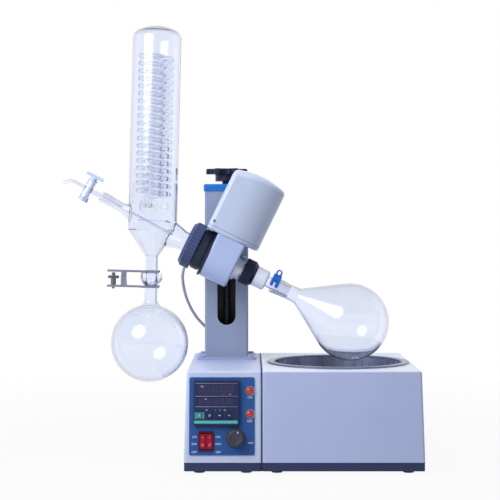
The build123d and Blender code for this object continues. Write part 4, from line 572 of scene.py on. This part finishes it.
# The cable's route from the motor pan to the top of the control box
UPPER_EXIT = millimetres(-44.665, 32.48, 373.520)
LOWER_EXIT = millimetres(-28.6, 157.08, 169.0)
CABLE_ROUTE = [
    UPPER_EXIT,
    millimetres(-50.803, 32.48, 360.937),
    *(
        millimetres(COLUMN_X + x, DRIVE_Y + y, z)
        for x, y, z in (
            (-42, 42, 349.5), (-57, 46.5, 339.5), (-70, 48.5, 325.5), (-76, 54, 307),
            (-75, 70, 285), (-69, 95, 258), (-56, 121, 230), (-38, 141, 209),
            (-19, 154, 195), (-8, 160, 181),
        )
    ),
    LOWER_EXIT,
]
CABLE_DIAMETER = 0.005
route = bpy.data.curves.new("cable_route", "CURVE")
route.dimensions = "3D"
spline = route.splines.new("NURBS")
spline.points.add(len(CABLE_ROUTE) - 1)
for point, spot in zip(spline.points, CABLE_ROUTE):
    point.co = (*spot, 1)
spline.order_u = 3
spline.use_endpoint_u = True
spline.resolution_u = 12
holder = bpy.data.objects.new("cable_route", route)
scene.collection.objects.link(holder)

# Without a bevel the curve gives its line, and with one its tube
cable_line = [vertex.co.copy() for vertex in drawn_mesh(holder).vertices]
route.bevel_depth = CABLE_DIAMETER / 2
route.bevel_resolution = 5
route.use_fill_caps = True
tube = drawn_mesh(holder)
bpy.data.objects.remove(holder)
tube.name = "head_cable"
tube.materials.clear()
tube.materials.append(sheath.material)
tube.shade_smooth()
cable = bpy.data.objects.new("head_cable", tube)
scene.collection.objects.link(cable)
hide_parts("motor_cable")
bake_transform(cable)

# Ribbed, tapered strain reliefs where the cable leaves the pan and enters the box
RELIEF = [(2.6, 0), (4.6, 0), (4.7, 1.2)]
for rib in range(4):
    low = 2.2 + rib * 2.6
    outer = 4.5 - rib * 0.36
    RELIEF += [(outer, low), (outer - 0.1, low + 1.4)]
    RELIEF += [(outer - 0.8, low + 1.6), (outer - 0.85, low + 2.3)]
RELIEF += [(3.1, 12.8), (2.95, 15.0), (2.55, 15.4)]
for name, start, across, onward, body in (
    ("upper_strain_relief", UPPER_EXIT, (0, 1, 0), CABLE_ROUTE[1] - UPPER_EXIT, "head"),
    ("lower_strain_relief", LOWER_EXIT, (1, 0, 0), CABLE_ROUTE[-2] - LOWER_EXIT, "base"),
):
    shape = bmesh.new()
    lathe(shape, plane(start, across, onward), RELIEF, 40)
    piece(name, shape, body, grey)

# ---------------------------------------------------------------- temperature controller

METER_X = -12.1
WINDOW_OUT = BEZEL - 1.2
DIGIT_OUT = BEZEL - 0.5
LABEL_OUT = BEZEL - 0.44
KEY_OUT = BEZEL + 1.2
WORD_GAP = 0.05
METER_WORD_OUT = BEZEL + WORD_GAP

shape = bmesh.new()
for window_z, window_height in ((130.8, 18.0), (112.4, 12.4)):
    outline = rounded(59.6, window_height, 0.6)
    prism(shape, on_front(METER_X, window_z, WINDOW_OUT), outline, 0.02, 0.7, 0.15)
piece("meter_windows", shape, "base", display)

# The seven segments of a digit: sideways and up from its middle, and whether it lies flat
SEGMENTS = (
    (0, 1, True), (1, 0.5, False), (1, -0.5, False), (0, -1, True), (-1, -0.5, False),
    (-1, 0.5, False), (0, 0, True),
)
shape = bmesh.new()
for digit_z, tall, step in ((130.2, 12.0, 13.2), (112.0, 8.4, 10.4)):
    half_width = tall * 0.26
    thick = tall * 0.1
    for digit in range(4):
        digit_x = METER_X + 4.0 + (digit - 1.5) * step
        for side, level, lying in SEGMENTS:
            size = (half_width * 1.5, thick) if lying else (thick, tall * 0.36)
            x = digit_x + side * half_width
            spot = on_front(x, digit_z + level * tall / 2, DIGIT_OUT)
            prism(shape, spot, rounded(*size, tall * 0.045, 2), 0.01, 0.06)
piece("meter_digits", shape, "base", ghost, smooth=0)

shape = bmesh.new()
for line_z in (140.4, 120.5, 104.4):
    prism(shape, on_front(METER_X, line_z, BEZEL), rounded(66.0, 0.8, 0.3, 2), 0.0, PRINT_THICK)
piece("meter_lines", shape, "base", line_ink, smooth=0)

shape = bmesh.new()
prism(shape, on_front(METER_X - 0.6, 80.8, BEZEL), rounded(68.0, 4.6, 0.6), -0.1, 0.35, 0.12)
piece("meter_green_strip", shape, "base", green)

# Four bars round the first key: x from the controller's middle, z, width, height and corner
shape = bmesh.new()
for x, z, width, height, corner in (
    (-32.4, 90.6, 3.4, 9.0, 0.4), (-20.4, 90.6, 2.8, 9.0, 0.4),
    (-26.5, 95.4, 15.2, 0.8, 0.3), (-26.5, 86.0, 15.2, 0.8, 0.3),
):
    prism(shape, on_front(METER_X + x, z, BEZEL), rounded(width, height, corner), -0.1, 0.2)
piece("meter_key_surround", shape, "base", key_green)

shape = bmesh.new()
for x, z, out, text, size in (
    (-22.4, 135.2, LABEL_OUT, "PV", 3.6),
    (-16.6, 116.2, LABEL_OUT, "SV", 3.2),
    (21.5, 122.8, LABEL_OUT, "°C", 3.0),
    (-15.2, 99.1, METER_WORD_OUT, "AT", 3.0),
    (-1.4, 99.1, METER_WORD_OUT, "1", 3.0),
    (5.4, 99.1, METER_WORD_OUT, "2", 3.0),
    (13.3, 99.1, METER_WORD_OUT, "AL", 3.0),
):
    word(shape, on_front(METER_X + x, z, out), text, size)
piece("meter_print", shape, "base", ink, smooth=0)

# The keys' marks: a letter, an open ring and two arrows
KEY_Z = 90.9
ARROW_DOWN = [(-2.3, 1.0), (0, -1.5), (2.3, 1.0), (1.3, 1.0), (0, -0.35), (-1.3, 1.0)]
ARROW_UP = [(x, -y) for x, y in reversed(ARROW_DOWN)]
for number, offset in enumerate((-26.9, -10.5, 5.2, 20.1), 1):
    shape = bmesh.new()
    face = on_front(METER_X + offset, KEY_Z, KEY_OUT)
    if number == 1:
        word(shape, on_front(METER_X + offset, KEY_Z, KEY_OUT + WORD_GAP), "S", 4.6)
    elif number == 2:
        print_ring(shape, face, 1.9, 0.62, sides=20, shown=17)
    else:
        prism(shape, face, ARROW_DOWN if number == 3 else ARROW_UP, 0.0, PRINT_THICK)
    piece(f"key_{number}_mark", shape, f"meter_key_{number}_body", ink, smooth=0)

# ---------------------------------------------------------------- panel, buttons and dial

shape = bmesh.new()
for x, z, text, size in (
    (40.6, 119.0, "ON", 4.8), (40.2, 82.2, "OFF", 4.8),
    (-46.2, 58.0, "ON", 4.8), (-9.6, 58.0, "ON", 4.8),
    (-46.8, 47.2, "SPIN", 4.2), (-9.0, 47.2, "HEAT", 4.2),
    (-46.6, 34.6, "OFF", 4.8), (-9.2, 34.6, "OFF", 4.8),
    (41.4, 48.6, "RPM", 4.4),
):
    word(shape, on_front(x, z, PANEL + WORD_GAP), text, size)
piece("panel_print", shape, "base", ink, smooth=0)

# Steel collars and domed caps of the two push buttons
BUTTON_X = 40.6
BUTTON_HEIGHTS = {"start_button": 129.2, "stop_button": 93.5}
CAP_RADIUS = 5.8
CAP_FOOT = -12.0
CAP_EDGE = PANEL + 2.0
CAP_CROWN = 3.0
COLLAR = [(6.25, 0), (7.5, 0), (7.5, 0.6), (7.1, 1.0), (6.4, 1.0), (6.25, 0.8), (6.25, 0)]
shape = bmesh.new()
for button_z in BUTTON_HEIGHTS.values():
    lathe(shape, on_front(BUTTON_X, button_z, PANEL), COLLAR, 48)
piece("button_collars", shape, "base", steel)

cap_profile = [(0, CAP_FOOT), (CAP_RADIUS, CAP_FOOT)]
for step in range(9):
    angle = radians(10 * step)
    cap_profile.append((CAP_RADIUS * cos(angle), CAP_EDGE + CAP_CROWN * sin(angle)))
cap_profile.append((0, CAP_EDGE + CAP_CROWN))
for name, button_z in BUTTON_HEIGHTS.items():
    shape = bmesh.new()
    lathe(shape, on_front(BUTTON_X, button_z), cap_profile, 48)
    cap = piece(f"{name}_cap", shape, f"{name}_body", red)
    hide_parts(name)

# Marks on the two rockers' hollow faces, which lie in the rockers' own tilted frame
ROCKER_TILT = radians(8.0)
MARK_LEAN = 0.12
for name, side in (("rotation_switch", -1), ("heating_switch", 1)):
    pivot = on_front(-28.3 + side * 5.4, 51.7, PANEL) @ Matrix.Rotation(ROCKER_TILT, 4, "X")
    shape = bmesh.new()
    for along, slope in ((5.8, 1), (-5.8, -1)):
        lift = 1.6 + 1.4 * (along / 11.5) ** 2 + 0.06
        lean = Matrix.Rotation(slope * MARK_LEAN, 4, "X")
        face = pivot @ Matrix.Translation(millimetres(0, along, lift)) @ lean
        if slope > 0:
            prism(shape, face, rounded(0.8, 3.8, 0.3, 2), 0, PRINT_THICK)
        else:
            print_ring(shape, face, 2.2, 0.66, sides=24, shown=24)
    piece(f"{name}_marks", shape, f"{name}_body", rocker_mark, smooth=0)

# A fluted dial with a pointer line
DIAL = on_front(17.9, 56.3, PANEL + 0.3)
DIAL_PROFILE = [
    (0, 0), (14.8, 0), (15.2, 0.4), (15.2, 2.0), (14.6, 2.7), (13.7, 2.9), (13.5, 3.6),
    (13.1, 9.0), (12.6, 14.6), (12.2, 15.6), (11.4, 16.5), (10.2, 17.0), (9.2, 16.8),
    (8.4, 16.4), (0, 16.2),
]
FLUTES = 30
FLUTE_DEPTH = 0.45


def fluted(radius, height, angle):
    """The dial's radius, cut in by the flutes between its skirt and its crown."""
    if not 3.2 < height < 15.5 or radius < 10:
        return radius
    return radius - FLUTE_DEPTH * (0.5 + 0.5 * cos(FLUTES * angle)) ** 2


shape = bmesh.new()
lathe(shape, DIAL, DIAL_PROFILE, FLUTES * 8, fluted)
dial = piece("speed_dial_cap", shape, "speed_dial_body", dial_look)
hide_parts("speed_dial")

shape = bmesh.new()
pointer = DIAL @ Matrix.Rotation(radians(-24), 4, "Z")
pointer = pointer @ Matrix.Translation(millimetres(0, 9.0, 16.2))
prism(shape, pointer, rounded(1.4, 3.4, 0.5), 0, 0.85)
piece("speed_dial_pointer", shape, "speed_dial_body", ink)

# ---------------------------------------------------------------- screws and clip

# Pan-head screws with a socket, on both sides of the motor cover
SCREW_RADIUS = 2.3
SCREW_HEIGHT = 1.3
SCREW_PROFILE = [
    (radius * SCREW_RADIUS, height * SCREW_HEIGHT)
    for radius, height in (
        (0.96, 0), (1, 0.3), (0.93, 0.75), (0.7, 1), (0.42, 1), (0.4, 0.35), (0, 0.3),
    )
]
shape = bmesh.new()
for side in (-1, 1):
    place = plane(on_drive(-39.6, side * 45.0, 53.0), DRIVE_T, (0, side, 0))
    lathe(shape, place, SCREW_PROFILE, 36)
piece("cover_screws", shape, "head", screw_steel)

# The joint clip: two broken rings, a bridge between them and a tab with an eye
CLIP_START = 89.4
CLIP_END = 103.3
CLIP_MIDDLE = (CLIP_START + CLIP_END) / 2
CLIP_RADIUS = 18.4
CLIP_SHOULDER = 15.8
CLIP_EASE = 0.7
clip_place = plane(DRIVE_ORIGIN, (0, 1, 0), DRIVE_T)
shape = bmesh.new()
for start, end, inside in (
    (CLIP_START, CLIP_START + 5, 12.2), (CLIP_END - 5, CLIP_END, CLIP_SHOULDER)
):
    section = [
        (inside, start), (17.6, start), (CLIP_RADIUS, start + CLIP_EASE),
        (CLIP_RADIUS, end - CLIP_EASE), (17.6, end), (inside, end),
    ]
    arc(shape, clip_place, section, -10, 190, 60)
start, end = CLIP_START + 4, CLIP_END - 4
bridge = [(CLIP_SHOULDER, start), (CLIP_RADIUS, start), (CLIP_RADIUS, end), (CLIP_SHOULDER, end)]
arc(shape, clip_place, bridge, 28, 152, 40)
tab = [(x + CLIP_MIDDLE, y + 20.9) for x, y in rounded(10.4, 12.2, 5.0, 8)]
eye = [(x + CLIP_MIDDLE, y + 21.6) for x, y in rounded(5.0, 6.8, 2.4, 8)]
loop(shape, plane(DRIVE_ORIGIN, DRIVE_T, (0, -1, 0)), tab, eye, 4.5, CLIP_EASE)
clip = piece("spring_clip", shape, "flask_drive", clip_blue)
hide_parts("joint_clip")

# ---------------------------------------------------------------- seams

# Painted shade, a dark strip in the boxes' groove: front, front tray, top, rear, rear tray
SEAM_X = 38.55
SEAM_DEPTH = 1.3
SEAM_THICK = 1.2
SLOPE_LENGTH = 141.0
TOP_LENGTH = REAR_TOP + 145.0
TRAY_MIDDLE = 11.8
TRAY_STRIP = 13.4
TRAY_REAR = 182.78
top_middle = millimetres(SEAM_X, (REAR_TOP + FRONT_TOP) / 2, BOX_TOP)
rear_middle = millimetres(SEAM_X, REAR_TOP + REAR_LEAN / 2, BOX_MIDDLE)
front_tray = millimetres(SEAM_X, FRONT_FOOT + 0.3, TRAY_MIDDLE)
rear_tray = millimetres(SEAM_X, TRAY_REAR, TRAY_MIDDLE)
shape = bmesh.new()
for place, length in (
    (on_front(SEAM_X - COLUMN_X, BOX_MIDDLE), SLOPE_LENGTH),
    (plane(front_tray, (1, 0, 0), (0, -1, 0)), TRAY_STRIP),
    (plane(top_middle, (1, 0, 0), UP), TOP_LENGTH),
    (plane(rear_middle, (-1, 0, 0), REAR_OUT), SLOPE_LENGTH),
    (plane(rear_tray, (-1, 0, 0), (0, 1, 0)), TRAY_STRIP),
):
    prism(shape, place, rounded(2.4, length, 0.3, 2), -SEAM_DEPTH - SEAM_THICK, -SEAM_DEPTH)
piece("box_groove_shade", shape, "base", tray, smooth=0)

# The motor cover's plan: an ellipse's middle and half axes, and the corners of its other end
COVER_MIDDLE = -15
COVER_LENGTH = 62
COVER_HALF_WIDTH = 45
COVER_CORNER = 8
CORNER_T = -38


def cover_outline(grow):
    """The motor cover's outline of (t, y): half an ellipse, then a straight end with corners."""
    points = []
    for step in range(49):
        angle = radians(-90 + 180 * step / 48)
        t = COVER_MIDDLE + (COVER_LENGTH + grow) * cos(angle)
        points.append((t, (COVER_HALF_WIDTH + grow) * sin(angle)))
    corner = COVER_CORNER + grow
    for side, start in ((1, 90), (-1, 180)):
        corner_y = side * (COVER_HALF_WIDTH - COVER_CORNER)
        for step in range(9):
            angle = radians(start + 90 * step / 8)
            points.append((CORNER_T + corner * cos(angle), corner_y + corner * sin(angle)))
    return points


# Painted shade: a grey strip in the seam between the motor cover and its pan
shape = bmesh.new()
seam = plane(on_drive(0, 0, 45.0), DRIVE_T, DRIVE_V)
loop(shape, seam, cover_outline(0.15), cover_outline(-1.0), 0.4, 0.1)
piece("cover_seam_shade", shape, "head", seam_shade, smooth=0)

# ---------------------------------------------------------------- floor

# The camera, gloss and glass see the floor as near white, and it keeps the object's shadow
WHITE_SHARE = 0.93
ground = Look("floor")
ground.feed("Base Color", ground.mix(ground.noise(3.0), (0.50, 0.50, 0.50), (0.53, 0.53, 0.53)))
ground.set(Roughness=0.9, Specular_IOR_Level=0.1)
rays = ground.node("ShaderNodeLightPath").outputs
seen = ground.math("MAXIMUM", rays["Is Camera Ray"], rays["Is Glossy Ray"])
seen = ground.math("MAXIMUM", seen, rays["Is Transmission Ray"])
reach = ground.node("ShaderNodeVectorMath", [(0, ground.place)], operation="LENGTH")
whiteness = ground.spread(reach.outputs["Value"], WHITE_SHARE, 1.0, 0.45, 1.4)
glow = ground.node("ShaderNodeEmission", [("Color", (1, 1, 1, 1)), ("Strength", 1.0)])
ground.give_way(ground.math("MULTIPLY", seen, whiteness), glow)

shape = bmesh.new()
lathe(shape, Matrix.Translation((0, 0, -0.0002)), [(0, 0), (3000, 0), (9000, 0)], 96)
floor_data = bpy.data.meshes.new("floor")
shape.to_mesh(floor_data)
shape.free()
floor_data.materials.append(ground.material)
floor = bpy.data.objects.new("floor", floor_data)
scene.collection.objects.link(floor)
floor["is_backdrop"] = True

# ---------------------------------------------------------------- light

# The world is white to the camera, graded to gloss and glass, and dimmer and bluer as light
WORLD_LIGHT = 0.40
world = bpy.data.worlds.new("studio")
world.use_nodes = True
scene.world = world
sky = Nodes(world.node_tree)
sky.tree.nodes.clear()
direction = sky.node("ShaderNodeTexCoord").outputs["Generated"]
parts = sky.node("ShaderNodeSeparateXYZ", [(0, direction)]).outputs
rays = sky.node("ShaderNodeLightPath").outputs
bent = sky.math("MAXIMUM", rays["Is Glossy Ray"], rays["Is Transmission Ray"])
overhead = sky.spread(parts["Z"], 1.0, 0.5, 0.25, 0.95)
behind = sky.spread(parts["Y"], 0.5, 1.0, -0.8, 0.1)
bent_light = sky.math("MULTIPLY", bent, sky.math("MULTIPLY", overhead, behind))
plain_light = sky.math("MULTIPLY", sky.math("SUBTRACT", 1.0, bent), WORLD_LIGHT)
light = sky.math("ADD", bent_light, plain_light)
strength = sky.math("MAXIMUM", light, rays["Is Camera Ray"])
untinted = sky.math("MAXIMUM", bent, rays["Is Camera Ray"])
tint = sky.mix(untinted, (0.92, 0.98, 1.1), (1, 1, 1))
background = sky.node("ShaderNodeBackground", [("Color", tint), ("Strength", strength)])
sky.node("ShaderNodeOutputWorld", [("Surface", background.outputs[0])])


def softbox(name, shape, place, aim, size, power):
    lamp = bpy.data.lights.new(name, "AREA")
    lamp.shape = shape
    lamp.size, lamp.size_y = size
    lamp.energy = power
    lamp.color = (0.96, 0.98, 1.0)
    holder = bpy.data.objects.new(name, lamp)
    holder.location = place
    holder.rotation_euler = (Vector(aim) - Vector(place)).to_track_quat("-Z", "Y").to_euler()
    holder.visible_camera = False
    scene.collection.objects.link(holder)
    return holder


key_light = softbox(
    "key_light", "DISK", (-0.69, -0.79, 0.9), (-0.1, 0, 0.33), size=(0.94, 0.94), power=13.6
)
top_light = softbox(
    "top_light", "RECTANGLE", (-0.1, -0.1, 1.8), (0.0, 0.0, 0.2), size=(1.2, 1.0), power=10.0
)
top_light.visible_glossy = False
top_light.visible_transmission = False

# The key light fades towards its rim, so that highlights have soft edges
key_light.data.use_nodes = True
key = Nodes(key_light.data.node_tree)
across = key.node("ShaderNodeNewGeometry").outputs["Parametric"]
links = [(0, across), (1, (0.5, 0.5, 0.0))]
from_middle = key.node("ShaderNodeVectorMath", links, operation="DISTANCE").outputs["Value"]
fade = key.spread(from_middle, 1.0, 0.1, 0.3, 0.5)
key.tree.links.new(fade, key.tree.nodes["Emission"].inputs["Strength"])

scene.view_settings.view_transform = "Standard"

low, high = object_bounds()
